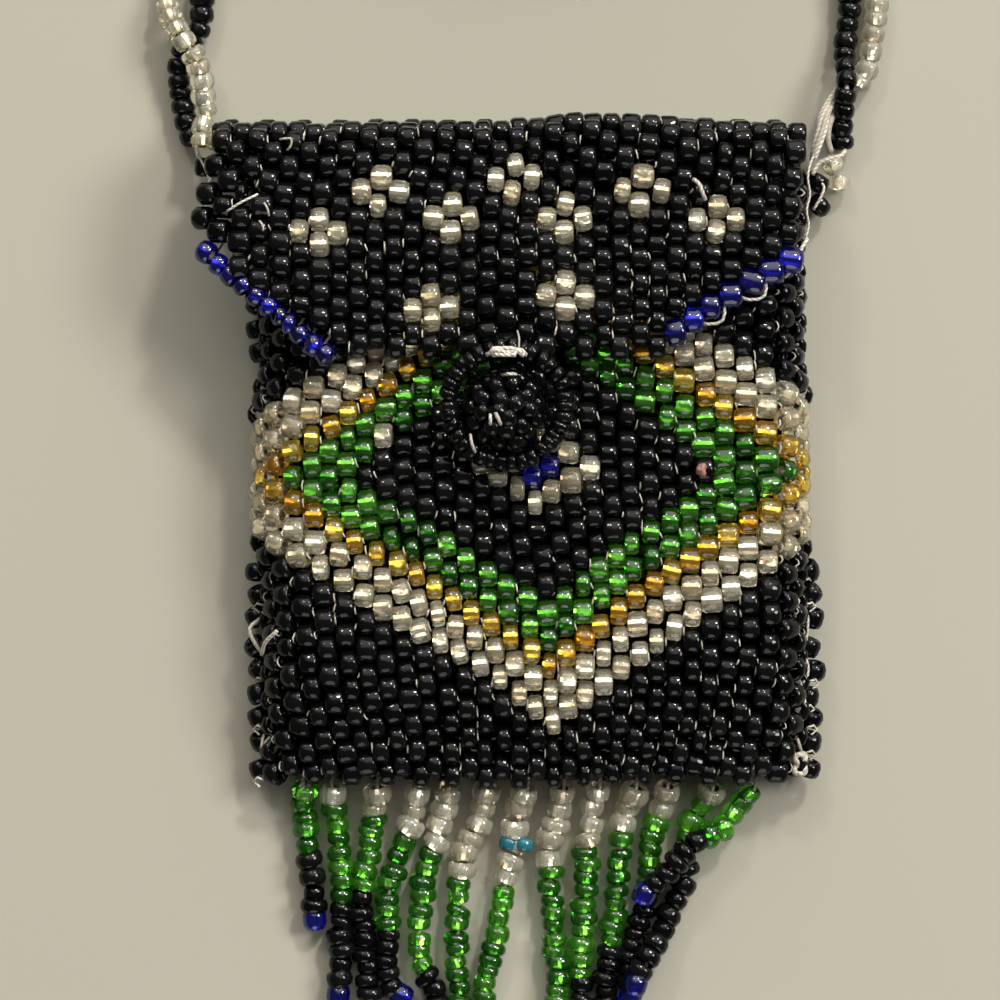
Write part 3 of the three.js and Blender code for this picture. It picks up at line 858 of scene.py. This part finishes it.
def flap_place(column, half_row):
    """A point of the flap: up its spine, round the bend and out to the tip, by distance from the fold."""
    run = FLAP_START + half_row * HALF_ROW + FLAP_STRETCH * smooth_step(half_row, 3, 12)
    spine_y, foot = FOLD_Y - BEAD / 2, FLANK_Z
    upright = FLAP_Z - SPINE_BEND - foot
    bend = SPINE_BEND * math.pi / 2
    angle = np.clip((run - upright) / SPINE_BEND, 0, math.pi / 2)
    flat = np.maximum(run - upright - bend, 0)
    y = spine_y - SPINE_BEND * (1 - np.cos(angle)) - flat
    z = foot + np.minimum(run, upright) + SPINE_BEND * np.sin(angle)
    left, right = (
        mix(corner_x, fold_x, np.clip((y - corner_y) / (FOLD_Y - corner_y), 0, 1))
        for (corner_x, corner_y), fold_x in zip(FLAP_CORNERS, (FOLD_LEFT, FOLD_RIGHT))
    )
    share = (column + 0.5) / FLAP_COLUMNS
    spread = FLAP_SPREAD * smooth_step(FOLD_Y - y, 1, 9) * np.clip(1 - 5 * share, 0, 1)
    x = mix(left, right, share) - spread
    shift = lean(x, y, 57) * smooth_step(run, 3, 9)
    over = np.maximum(POUCH_EDGES[0] - x, 0) ** 2 + np.maximum(x - POUCH_EDGES[1], 0) ** 2
    z = z - DROOP * over * smooth_step(run, 4, 10)
    slant = FLAP_TILT * x * smooth_step(run, 3, 9)
    bulge = FOLD_BULGE * np.exp(-(((x - BULGE_X) / BULGE_REACH) ** 2))
    bulge = bulge * smooth_step(run, 0, 5) * (1 - smooth_step(run, 8, 16))
    return np.stack([x + shift[0], y + shift[1] + slant + bulge, z + shift[2]], axis=1)


BESIDE = 0.45  # of a column, to each side of a bead's middle, where its row's direction is measured


def weave(place, columns, half_rows, fill):
    """Black beads of a sheet in peyote stitch: neighbouring columns stand half a bead up or down.

    place gives the sheet's middle; each hole runs along the row and each bead's up is the sheet's outside.
    """
    grid = np.meshgrid(np.arange(columns), half_rows, indexing="ij")
    column, half_row = (numbers.ravel() for numbers in grid)
    beads_here = (column + half_row) % 2 == 0
    column, half_row = column[beads_here].astype(float), half_row[beads_here].astype(float)
    row_way = place(column + BESIDE, half_row) - place(column - BESIDE, half_row)
    column_way = place(column, half_row - 0.5) - place(column, half_row + 0.5)
    pitch = np.linalg.norm(row_way, axis=1) / (2 * BESIDE)
    beads = Beads(place(column, half_row), row_way, np.cross(row_way, column_way), pitch * fill, BEAD, "jet")
    return beads, column, half_row


SLIVER_HEIGHT, SLIVER_RADIUS = 0.82, 0.065
# A sliver's bow, as places along it from its middle and how far up it has risen there.
SLIVER_BOW = ((-1, 0.0), (-0.7, 0.6), (0, 1.0), (0.7, 0.6), (1, 0.0))


def sliver_threads(place, columns, half_rows, share, keep=None):
    """Short thread slivers that show between neighbouring columns, from bead to bead.

    Each starts beside one bead's hole, bows outwards in the groove and ends beside the next bead's hole.
    """
    grid = np.meshgrid(np.arange(columns - 1), half_rows, indexing="ij")
    column, half_row = (numbers.ravel() for numbers in grid)
    chosen = rng.random(len(column)) < share
    if keep is not None:
        chosen &= keep(column + 0.5, half_row)
    column, half_row = column[chosen].astype(float), half_row[chosen].astype(float)
    slant = np.where((column + half_row) % 2 == 0, 1.0, -1.0)
    count = len(column)
    reach = rng.uniform(0.18, 0.42, count)
    lift = SLIVER_HEIGHT + rng.uniform(-0.3, 0.12, count)
    offset = rng.uniform(-0.35, 0.35, count)
    sway = rng.uniform(-0.02, 0.09, count)
    routes = []
    for part, rise in SLIVER_BOW:
        at = column + 0.5 + part * sway
        row = half_row + offset + slant * part * reach
        middle = place(at, row)
        outward = unit(np.cross(place(at + 0.4, row) - place(at - 0.4, row),
                                place(at, row - 0.5) - place(at, row + 0.5)))
        routes.append(middle + outward * (lift * mix(0.45, 1, rise))[:, None])
    return thread_arrays(np.stack(routes, axis=1), SLIVER_RADIUS)


STRAY_BEAD = (-8, -2)  # one crystal bead out of place, in columns and half rows from the diamonds' middle


def front_finish(column, half_row):
    """The front's diamonds, by columns and half rows from their middle: cobalt and crystal in the heart,
    then black, emerald, gold and crystal, and black to the edges."""
    across = column - FRONT_MIDDLE
    ring = np.abs(across) + np.abs(half_row - 1) + 1
    finish = np.select(
        [(ring <= 2) & (across >= 0), ring == 4, ring <= 10, ring <= 14, ring <= 16, ring <= 20],
        ["cobalt", "crystal", "jet", "emerald", "gold", "crystal"], "jet",
    )
    stray = (across == STRAY_BEAD[0]) & (half_row == STRAY_BEAD[1])
    return np.where(stray, "crystal", finish)


FRONT_HALF_ROWS = np.arange(-22, 25)
BACK_HALF_ROWS = np.arange(0, 53)
FLAP_HALF_ROWS = np.arange(0, 23)
# Middles of the flap's nine flowers, as (column, half row): each is four crystal beads round one gap.
FLOWERS = [(6, 13), (9, 10), (13, 12), (16, 9), (19, 12), (23, 10), (27, 12), (12, 19), (19, 18)]
NARROW_BEAD = (-22.9, 35.3)  # where one of the flap's beads leaves a gap beside it

# Loose ends and repairs in thread, each as a radius and the places it passes.
FLAP_ENDS = [
    (0.10, [(-23.6, 33.4, 11.0), (-22.4, 34.1, 11.5), (-21.0, 34.8, 11.3)]),
    (0.09, [(-20.5, 34.1, 11.2), (-20.2, 33.6, 11.3), (-20.1, 33.0, 11.1)]),
    (0.09, [(-20.9, 32.6, 11.0), (-20.6, 32.2, 11.2), (-20.6, 31.7, 10.9)]),
    (0.09, [(-19.2, 39.4, 11.0), (-18.2, 39.4, 11.2), (-18.3, 38.8, 11.1), (-18.6, 38.5, 10.9)]),
    (0.17, [(15.3, 36.1, 10.7), (15.8, 35.6, 11.2), (16.0, 35.0, 11.2), (16.3, 34.4, 10.7)]),
]
EDGE_ENDS = {
    "left": [
        (0.16, [(-21.3, -0.8, 3.6), (-22.2, -1.6, 3.9), (-21.8, -2.8, 4.1), (-21.15, -3.7, 4.0)]),
        (0.16, [(-19.6, -1.7, 8.2), (-20.5, -2.5, 7.4), (-21.1, -3.8, 5.2)]),
        (0.12, [(-21.0, -10.7, 3.4), (-21.2, -11.6, 3.7), (-21.0, -12.5, 3.2)]),
        (0.12, [(-20.1, -10.6, 3.6), (-20.6, -11.0, 3.9), (-21.1, -11.7, 3.6)]),
        (0.16, [(-21.5, -13.4, 2.2), (-20.8, -14.3, 2.6), (-20.4, -14.9, 2.0)]),
    ],
    "right": [
        (0.13, [(24.8, 0.5, 4.3), (25.4, -0.6, 4.0), (25.4, -1.6, 3.9), (25.2, -3.0, 4.0),
                (25.0, -3.7, 4.2)]),
        (0.13, [(25.0, -3.8, 4.2), (25.4, -4.6, 4.0), (25.4, -5.6, 3.9), (25.0, -6.3, 4.1)]),
        (0.14, [(25.1, -7.6, 4.1), (25.2, -8.6, 3.9), (25.0, -9.3, 3.9), (24.6, -10.4, 4.3)]),
    ],
}


def tangle(middle, size, radius, turns):
    """A knot: one thread that winds round a small ball of three different paces."""
    t = np.linspace(0, turns * 2 * math.pi, int(turns * 18))
    wind = np.stack([np.cos(t), np.sin(0.83 * t + 0.4), np.sin(1.31 * t)], axis=1)
    return thread_arrays([np.array(middle) + wind * size], radius)


def split_by_finish(name, beads, body, node):
    """One piece for each finish of a weave. Together they stand for the weave's node."""
    for finish in dict.fromkeys(beads.finish):
        piece = bead_piece(f"{name}_{finish}_beads", beads.pick(beads.finish == finish))
        belong(piece, body, finish, node)


def make_front():
    """The front's weave, with its diamonds, and the thread slivers in it."""
    beads, column, half_row = weave(front_place, FRONT_COLUMNS, FRONT_HALF_ROWS, 0.975)
    beads.finish = front_finish(column, half_row).astype("U12")
    beads.lined = beads.finish != "jet"
    beads.width = beads.width * (1 + ROW_SWELL * half_row.clip(0))
    beads.jumble(0.06, 0.085, 0.09, 0.04)
    split_by_finish("front", beads, "pouch", "front_panel")
    slivers = sliver_threads(front_place, FRONT_COLUMNS, FRONT_HALF_ROWS, 0.34)
    belong(thread_piece("front_thread", [slivers]), "pouch", "thread")


def make_back():
    """The back's plain black weave."""
    beads, _, _ = weave(back_place, BACK_COLUMNS, BACK_HALF_ROWS, 0.955)
    beads.jumble(0.02, 0.04, 0.07, 0.02)
    beads.middle[:, 2] = np.maximum(beads.middle[:, 2], BACK_Z)
    split_by_finish("back", beads, "pouch", "back_panel")


def above(x, y, line):
    """How far places lie above a slanting line, square to it; below it the distance is negative."""
    (x1, y1), (x2, y2) = line
    return ((x - x1) * (y1 - y2) + (y - y1) * (x2 - x1)) / math.hypot(x2 - x1, y2 - y1)


def on_flap(column, half_row):
    """Whether a place on the flap lies inside its cut corners."""
    x, y, _ = flap_place(np.asarray(column, float), np.asarray(half_row, float)).T
    return (above(x, y, LEFT_CUT) > 0.85) & (column + half_row <= RIGHT_CUT)


def make_flap():
    """The flap's weave, with its flowers, and its thread. The result is the right cut's row of beads."""
    beads, column, half_row = weave(flap_place, FLAP_COLUMNS, FLAP_HALF_ROWS, 1.0)
    flower = np.zeros(len(column), bool)
    for middle_column, middle_row in FLOWERS:
        flower |= np.abs(column - middle_column) + np.abs(half_row - middle_row) == 1
    x, y, _ = beads.middle.T
    lowest = (column + half_row == RIGHT_CUT) & (column >= RIGHT_CUT_COLUMN)
    narrow = np.argmin(np.hypot(x - NARROW_BEAD[0], y - NARROW_BEAD[1]))
    beads.length[narrow] *= 0.55
    beads.middle[narrow, 0] -= 0.3
    beads.finish = np.select([flower, lowest], ["crystal", "ink"], "jet").astype("U12")
    beads.lined = flower | lowest
    beads.outline[flower] = ROUND_BEAD
    beads.jumble(0.055, 0.085, 0.07, 0.035)
    kept = on_flap(column, half_row)
    edging = beads.pick(kept & lowest)
    edging.length, edging.width = edging.length * 1.16, edging.width * 1.06
    split_by_finish("flap", beads.pick(kept & ~lowest), "flap", "flap")
    slivers = sliver_threads(flap_place, FLAP_COLUMNS, FLAP_HALF_ROWS, 0.26, keep=on_flap)
    belong(thread_piece("flap_thread", [slivers, *loose_threads(FLAP_ENDS)]), "flap", "thread")
    return edging


def make_fold():
    """Thread that crosses the fold, from the back's last row to the spine's first, under every column."""
    column = np.arange(FLAP_COLUMNS).astype(float)
    x = mix(FOLD_LEFT, FOLD_RIGHT, (column + 1.0) / FLAP_COLUMNS)[:-1]
    profile = np.array([(39.0, 1.5), (39.8, 1.3), (40.6, 1.7), (40.7, 2.5), (40.4, 3.3), (40.15, 4.0)])
    routes = np.empty((len(x), len(profile), 3))
    routes[:, :, 0] = x[:, None] + rng.uniform(-0.15, 0.15, (len(x), 1))
    routes[:, :, 1:] = profile[None]
    piece = thread_piece("fold_thread", [thread_arrays(routes, 0.13)])
    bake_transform(piece)


EDGE_OUT = {"left": (1.0, 1.1), "right": (1.25, -0.35)}  # the edge rows' places past the sides, low and high
EDGE_PITCH = 2.1
EDGE_STARTS = SEAM_Y + 1.2


def make_edges():
    """The rows of single beads sewn down both sides, and the thread that zigzags between them."""
    sides = (("left", POUCH_LEFT, MOUTH_LEFT, -1), ("right", POUCH_RIGHT, POUCH_RIGHT, 1))
    for side, pouch, mouth, outside in sides:
        y = np.arange(EDGE_STARTS, MOUTH_Y, EDGE_PITCH)
        y = y + rng.normal(0, 0.12, len(y))
        out = mix(mix(*EDGE_OUT[side], smooth_step(y, 0, 10)), -0.5, side_bulge(y))
        out = out + rng.uniform(-0.25, 0.25, len(y))
        x = mix(pouch, mouth, smooth_step(y, WIDENING_Y, MOUTH_Y)) + outside * out
        middle = np.stack([x, y, rng.uniform(1.7, 2.6, len(y)) - 0.5 * side_bulge(y)], axis=1)
        beads = Beads(middle, (0.5 * outside, 1, 0.2), (0, 0, 1), 1.6, 2.05, "jet", outline=ROUND_BEAD)
        beads.jumble(0.05, 0.35, 0.08, 0.04)
        count = len(y)
        zigzag = np.stack([
            np.stack([x - outside * 0.5, y - 0.9, np.full(count, 3.4)], axis=1),
            np.stack([x + outside * 0.1, y - 0.7, np.full(count, 3.3)], axis=1),
            np.stack([x + outside * 0.45, y - 1.05, np.full(count, 2.7)], axis=1),
            np.stack([x - outside * 0.1, y - 1.5, np.full(count, 3.2)], axis=1),
        ], axis=1)[(rng.random(count) < 0.6) & (side_bulge(y) < 0.1) & (y < 22)]
        threads = join_threads([thread_arrays(zigzag, 0.1), *loose_threads(EDGE_ENDS[side])])
        piece = bead_piece(f"{side}_edge_row", beads, threads)
        belong(piece, "pouch", "jet", f"{side}_edge_beads")


# ---- button, loop and edging

# Stitches over the left edging and hooks under the right one, as places from between beads and from a bead.
STITCH = [(-0.1, -0.2, -0.4), (0.2, 0.2, -0.95), (0.6, 0.9, -1.3), (1.0, 1.5, -1.2), (1.2, 1.9, -0.5)]
HOOKED = [2, 4]  # which of the right cut's beads, from the left, have a hook of thread under them
HOOK = [(-1.0, -1.25, 0.0), (-0.3, -1.5, 0.25), (0.5, -1.45, 0.3), (1.0, -1.15, 0.3), (1.15, -0.5, 0.3),
        (1.05, 0.4, 0.2)]
BUTTON_RINGS = [(2.85, 0.6, 14), (2.65, 1.9, 13), (1.9, 3.0, 9), (0.75, 3.6, 4)]  # radius, height, beads
BUTTON_AT = (-0.4, 17.0)
LOOP_ENDS = [
    (0.24, [(-1.9, 21.4, 12.6), (-1.2, 21.75, 13.3), (-0.2, 21.55, 13.5), (0.8, 21.7, 13.3),
            (1.3, 21.4, 12.6)]),
    (0.2, [(-1.5, 21.9, 13.0), (-0.6, 21.4, 13.4), (0.4, 21.8, 13.4), (1.1, 21.3, 13.0)]),
    (0.08, [(0.7, 21.6, 13.3), (0.75, 22.6, 13.1), (0.6, 23.4, 12.0)]),
]
BUTTON_ENDS = [
    (0.15, [(-0.6, 19.7, 11.9), (0.0, 19.8, 12.5), (0.5, 19.75, 12.0)]),
    (0.13, [(-1.65, 16.4, 13.3), (-1.63, 16.0, 13.7), (-1.65, 15.6, 13.2)]),
    (0.15, [(-1.2, 16.5, 13.4), (-1.0, 16.1, 13.8), (-0.8, 15.6, 13.2)]),
    (0.12, [(-3.3, 14.8, 11.6), (-3.2, 14.1, 11.9), (-2.9, 13.3, 11.4)]),
]
LOOP_KNOT = {"middle": (-0.5, 21.6, 13.4), "size": (0.9, 0.28, 0.25), "radius": 0.17, "turns": 4.5}
LOOP = {"x": -0.3, "y": 17.3, "radius": 4.85, "tilt": math.radians(14.5), "beads": 34}
SMALL_BEAD = 1.75  # the diameter of the button's and the loop's beads
LEFT_EDGING = [(-26.0, 30.5, FLAP_Z - 0.7), (-22.3, 27.25, FLAP_Z + 0.1), (-18.7, 24.15, FLAP_Z + 0.4),
               (-14.9, 21.0, FLAP_Z + 0.4)]
LEFT_EDGING_BEADS = 11
RIGHT_END = [(24.9, 31.2, FLAP_Z), (24.3, 30.2, FLAP_Z + 0.3), (24.0, 29.0, FLAP_Z),
             (23.0, 28.0, FLAP_Z - 0.4)]


def make_button():
    """A dome of bead rings, one on the other."""
    rings = []
    for radius, height, count in BUTTON_RINGS:
        angle = (np.arange(count) + rng.random()) * 2 * math.pi / count
        outward = np.stack([np.cos(angle), np.sin(angle), np.full(count, 0.5)], axis=1)
        middle = np.stack([BUTTON_AT[0] + radius * np.cos(angle), BUTTON_AT[1] + radius * np.sin(angle),
                           np.full(count, BUTTON_Z + height)], axis=1)
        around = np.stack([-np.sin(angle), np.cos(angle), np.zeros(count)], axis=1)
        rings.append(Beads(middle, around, outward, 1.25, SMALL_BEAD, "jet", outline=ROUND_BEAD))
    button = bead_piece("button_beads", join_beads(rings).jumble(0.07, 0.16, 0.06, 0.04),
                        join_threads(loose_threads(BUTTON_ENDS)))
    belong(button, "pouch", "jet", "button")


def make_loop():
    """A ring of beads on thread, tilted up over the flap's tip, with the thread that holds it there."""
    count = LOOP["beads"]
    angle = np.arange(count) * 2 * math.pi / count
    flat = np.stack([LOOP["radius"] * np.cos(angle), LOOP["radius"] * np.sin(angle), np.zeros(count)], axis=1)
    around = np.stack([-np.sin(angle), np.cos(angle), np.zeros(count)], axis=1)
    cosine, sine = math.cos(LOOP["tilt"]), math.sin(LOOP["tilt"])
    tip = np.array([[1, 0, 0], [0, cosine, sine], [0, -sine, cosine]])
    rise = LOOP["radius"] * sine
    middle = flat @ tip + (LOOP["x"], LOOP["y"], BUTTON_Z + 0.95 + rise)
    pitch = 2 * math.pi * LOOP["radius"] / count
    beads = Beads(middle, around @ tip, (0, 0, 1), pitch * 1.02, SMALL_BEAD, "jet", outline=ROUND_BEAD)
    beads.jumble(0.07, 0.16, 0.05, 0.05)
    loop = bead_piece("closure_loop_beads", beads, join_threads([
        *loose_threads(LOOP_ENDS), tangle(**LOOP_KNOT),
    ]))
    belong(loop, "flap", "jet", "closure_loop")


def make_edging(last_beads):
    """Dark blue beads along the flap's cut corners, with the thread that holds them.

    On the left they are a strung row, stitched on between its beads. On the right they are the columns' last
    beads, and thread shows as hooks under some of them.
    """
    strung = smooth_route(LEFT_EDGING)
    count = LEFT_EDGING_BEADS
    left = threaded(strung, ["ink"] * count, width=1.9, lined=True, tilt=0.3)
    between = walk(strung, route_length(strung) * np.arange(1, count) / count)[0]
    stitches = between[:, None] + np.array(STITCH)
    order = np.argsort(last_beads.middle[:, 0])
    hooks = last_beads.middle[order][HOOKED][:, None] + np.array(HOOK)
    threads = join_threads([thread_arrays(hooks, 0.13), thread_arrays([smooth_route(RIGHT_END)], 0.15)])
    left_piece = bead_piece("flap_edging_left_beads", left, thread_arrays(stitches, 0.11))
    right_piece = bead_piece("flap_edging_right_beads", last_beads, threads)
    belong(left_piece, "flap", "cobalt", "flap_edging_left")
    belong(right_piece, "flap", "cobalt", "flap_edging_right")


# ---- fringe: each strand's beads, as counts of crystal, green, black and a cobalt tip, and its route

FRINGE = [
    ((0, 5, 4, 1), [(-17.8, -15.6, 2.2), (-17.8, -17, 1.4), (-17.6, -19.1, 1), (-17.4, -21.1, 1),
                    (-16.9, -23.6, 1), (-17, -27.9, 1)]),
    ((1, 7, 6, 1), [(-15.3, -15.6, 2.2), (-15.2, -17.2, 1.4), (-14.8, -20.4, 1), (-14.4, -24.4, 1),
                    (-14.6, -27.3, 1), (-14.6, -30.7, 1), (-14.8, -34.4, 1)]),
    ((2, 6, 8, 1), [(-11.4, -15.6, 2.2), (-11.5, -17.5, 1.4), (-12, -20.5, 1), (-12.4, -22.8, 1),
                    (-12.7, -25.1, 1), (-12.5, -28.6, 1), (-12.1, -35.3, 1)]),
    ((3, 7, 5, 1), [(-8.1, -15.6, 2.2), (-8.2, -17.5, 1.4), (-9.3, -20.8, 1), (-10.3, -23.8, 1),
                    (-10.5, -27.3, 1), (-10.6, -30.7, 1), (-10.1, -33.1, 1), (-8.8, -34, 1)]),
    ((4, 9, 5, 1), [(-5.2, -15.6, 2.2), (-5.5, -17.2, 1.4), (-6.2, -19.8, 1), (-7.4, -23.4, 1),
                    (-7.8, -26.9, 1), (-7.5, -31.2, 1), (-6.6, -33.3, 1), (-6.7, -37.2, 1),
                    (-6.9, -38.6, 1)]),
    ((6, 10, 4, 1), [(-1.7, -15.6, 2.2), (-2.1, -17.3, 1.4), (-3.3, -20.1, 1), (-4.2, -23.4, 1),
                     (-4.5, -28.6, 1), (-4.5, -34.6, 1), (-4.7, -38, 1), (-5, -40.6, 1)]),
    ((6, 10, 4, 1), [(1.5, -15.6, 2.2), (1, -17.3, 1.4), (0.4, -20.1, 1), (-0.4, -23.8, 1),
                     (-1.1, -28.2, 1), (-2, -32, 1), (-2.4, -35.5, 1), (-2.7, -39, 1), (-2.7, -41.2, 1)]),
    ((5, 11, 4, 1), [(4.6, -15.6, 2.2), (4.3, -17.2, 1.4), (3.6, -20.4, 1), (3.5, -23.8, 1),
                     (3.9, -28.2, 1), (4, -33.8, 1), (3.6, -37.4, 1), (3.1, -40.2, 1)]),
    ((4, 10, 4, 1), [(7.7, -15.6, 2.2), (7.3, -17.2, 1.4), (6.7, -20, 1), (6.6, -24.3, 1),
                     (6.3, -28.6, 1), (6.1, -32.5, 1), (6.1, -35.9, 1), (6.4, -37.8, 1)]),
    ((3, 9, 5, 1), [(10.8, -15.6, 2.2), (10.3, -17, 1.4), (9.7, -19.5, 1), (9.3, -23.8, 1),
                    (8.8, -29, 1), (8.2, -32.9, 1), (8.2, -36.2, 1)]),
    ((2, 6, 8, 1), [(13.5, -15.6, 2.2), (13.1, -17.2, 1.4), (12.3, -19.8, 1), (12.1, -22.6, 1),
                    (11.6, -25.6, 1), (10.8, -28.6, 1), (10.3, -31.6, 1), (10.4, -34.4, 1)]),
    ((1, 4, 8, 1), [(17.4, -15.6, 2.2), (17, -16.7, 1.4), (15.6, -18.9, 1), (15, -21.5, 1),
                    (15.1, -23.5, 1), (14, -25.9, 1.2), (12.8, -28.4, 1.8), (11.6, -30.7, 2.8),
                    (10.5, -33, 3.1)]),
    ((0, 5, 5, 1), [(21, -15.6, 2.2), (20.1, -16.7, 1.6), (18.1, -19.2, 2.2), (16.3, -20.2, 3),
                    (14.4, -21.6, 3.3), (12.8, -23.5, 3.3), (11.2, -25.3, 3.3)]),
]
TIP_LENGTH = 1.85  # of the cobalt beads that end the strands
FRINGE_RISE = 0.35  # how far towards the seam every route is moved
TURQUOISE_PAIR = [(-0.1, -20.2, 1.6), (1.2, -20.25, 1.6)]


def make_fringe():
    """Thirteen strands of beads on thread, and a pair of turquoise beads that lies across the seventh."""
    pair = Beads(TURQUOISE_PAIR, (0.3, 1, 0), (0, 0, 1), 1.15, 1.7, "turquoise", outline=ROUND_BEAD)
    belong(bead_piece("fringe_turquoise_beads", pair), "pouch", "turquoise")
    for number, (counts, points) in enumerate(FRINGE, 1):
        # the fringe's crystal and green beads take the brighter copies of crystal and emerald: painted light
        names = sum(([name] * count for name, count in zip(("lit_crystal", "lit_emerald", "jet", "cobalt"), counts)), [])
        route = smooth_route(points) + (0, FRINGE_RISE, 0)
        beads = threaded(route, names, width=2.2, fill=1.04, tilt=0.18, length_spread=0.09, stray=0.1)
        beads.width[beads.finish == "lit_crystal"] *= 1.1
        beads.length[-1], beads.width[-1] = TIP_LENGTH, TIP_LENGTH * 1.12
        beads.lined = beads.finish != "jet"
        beads.keep_off_floor()
        start = np.array([points[0]]) + [[0.1, 1.4, 0.3]]
        core = thread_arrays([smooth_route(np.concatenate([start, points[:-1]]), 0.8)], 0.16)
        piece = bead_piece(f"fringe_strand_{number:02d}", beads, core)
        belong(piece, "pouch", "emerald", f"fringe_{number:02d}")


make_front()
make_back()
FLAP_EDGING = make_flap()
make_fold()
make_edges()
make_button()
make_loop()
make_edging(FLAP_EDGING)
make_fringe()

# ---- floor and light

FLOOR_SIZE = 3.0
FLOOR_Z = -0.00003  # in metres, just under what the bag rests on
FLOOR_COLOUR = (0.262, 0.252, 0.204, 1)
CHIP_AT = (16.1, 11.85, 8.55)
CHIP_SIZE = (0.55, 0.72, 0.6)
CHIP_SIDES, CHIP_RINGS = 12, 7


def make_chip():
    """A stray chip of stone caught among the front's beads: a ball pinched into a few flat faces."""
    u, v = np.meshgrid(np.linspace(0, 2 * math.pi, CHIP_SIDES, endpoint=False),
                       np.linspace(0.15, math.pi - 0.15, CHIP_RINGS))
    ball = np.stack([np.cos(u) * np.sin(v), np.sin(u) * np.sin(v), np.cos(v)], axis=-1)
    pinch = 1 - 0.25 * np.abs(np.sin(2.0 * u + 1.2 * v)) - 0.12 * np.cos(3.0 * u)
    points = (ball * pinch[..., None] * CHIP_SIZE + CHIP_AT).reshape(-1, 3)
    ring_starts = np.arange(CHIP_RINGS) * CHIP_SIDES
    grid = np.meshgrid(ring_starts[:-1], np.arange(CHIP_SIDES), indexing="ij")
    start, near = (numbers.ravel() for numbers in grid)
    beside = (near + 1) % CHIP_SIDES
    corners = (near, near + CHIP_SIDES, beside + CHIP_SIDES, beside)
    walls = np.stack([start + corner for corner in corners], axis=1)
    fan = np.arange(1, CHIP_SIDES - 1, 2)
    cap = np.stack([0 * fan, fan, fan + 1, fan + 2], axis=1)
    quads = np.concatenate([walls, cap, ring_starts[-1] + cap[:, ::-1]])
    piece = quad_mesh("front_stray_chip", points, quads, ["chip"], np.full(len(points), 0.7))
    belong(piece, "pouch", "chip")


def make_corner_knot():
    """The knot and its thread end at the pouch's lower right corner."""
    knot = thread_piece("corner_knot", [
        tangle((24.75, -13.2, 3.6), (0.42, 0.8, 0.4), 0.27, 6.5),
        thread_arrays([smooth_route([(24.9, -12.2, 3.6), (24.7, -11.6, 4.1), (24.5, -11.0, 4.3)])], 0.14),
    ])
    belong(knot, "pouch", "thread")


def make_floor():
    """A plain pale square that the bag lies on."""
    material, _, shader = new_finish("floor")
    shader.inputs["Base Color"].default_value = FLOOR_COLOUR
    shader.inputs["Roughness"].default_value = 0.9
    mesh = bpy.data.meshes.new("floor")
    half = FLOOR_SIZE / 2
    corners = [(-half, -half, 0), (half, -half, 0), (half, half, 0), (-half, half, 0)]
    mesh.from_pydata(corners, [], [(0, 1, 2, 3)])
    mesh.materials.append(material)
    floor = bpy.data.objects.new("floor", mesh)
    floor.location.z = FLOOR_Z
    bpy.context.scene.collection.objects.link(floor)


def add_lamp(name, azimuth, elevation, distance, size, power, colour):
    """A soft round lamp that faces the bag. Azimuth 0 is towards +Y and 90 towards +X, in degrees."""
    data = bpy.data.lights.new(name, "AREA")
    data.shape = "DISK"
    data.size = size
    data.energy = power
    data.color = colour
    lamp = bpy.data.objects.new(name, data)
    a, e = math.radians(azimuth), math.radians(elevation)
    way = np.array([math.sin(a) * math.cos(e), math.cos(a) * math.cos(e), math.sin(e)])
    lamp.location = way * distance
    lamp.rotation_mode = "XYZ"
    lamp.rotation_euler = (math.pi / 2 - e, 0, math.pi - a)
    bpy.context.scene.collection.objects.link(lamp)


GLOW_WAY = (0.1, 0.80, 0.59)  # the way to the brightest part of the room, past the fold and up
GLOW_EDGE, GLOW_CORE = 0.62, 0.96  # how near that way the glow starts and is full, as cosines
ROOM_LIGHT, GLOW_LIGHT = 0.11, 3.0


def make_light():
    """A dim room with one bright side, two small lamps past the fold and two soft ones."""
    world = bpy.data.worlds.new("studio")
    world.use_nodes = True
    tree = world.node_tree
    place = add_node(tree, "TexCoord")
    toward = add_node(tree, "VectorMath", [(0, place.outputs["Generated"]), (1, GLOW_WAY)],
                      operation="DOT_PRODUCT")
    glow = add_node(tree, "MapRange", [("Value", toward.outputs["Value"]), (1, GLOW_EDGE), (2, GLOW_CORE),
                                       (3, ROOM_LIGHT), (4, GLOW_LIGHT)], interpolation_type="SMOOTHSTEP")
    tree.links.new(glow.outputs[0], tree.nodes["Background"].inputs["Strength"])
    tree.nodes["Background"].inputs["Color"].default_value = (1.0, 0.97, 0.92, 1)
    bpy.context.scene.world = world
    add_lamp("lamp_left", -24, 38, 1.6, 0.16, 6, (1, 0.97, 0.92))
    add_lamp("lamp_right", 26, 38, 1.6, 0.18, 18, (1, 0.97, 0.92))
    add_lamp("soft_key", 70, 42, 1.4, 0.5, 18, (1, 0.98, 0.95))
    add_lamp("low_wall", 180, 18, 1.5, 1.1, 8, (1, 0.98, 0.96))


make_chip()
make_corner_knot()
make_floor()
make_light()
bpy.context.scene.view_settings.view_transform = "Standard"
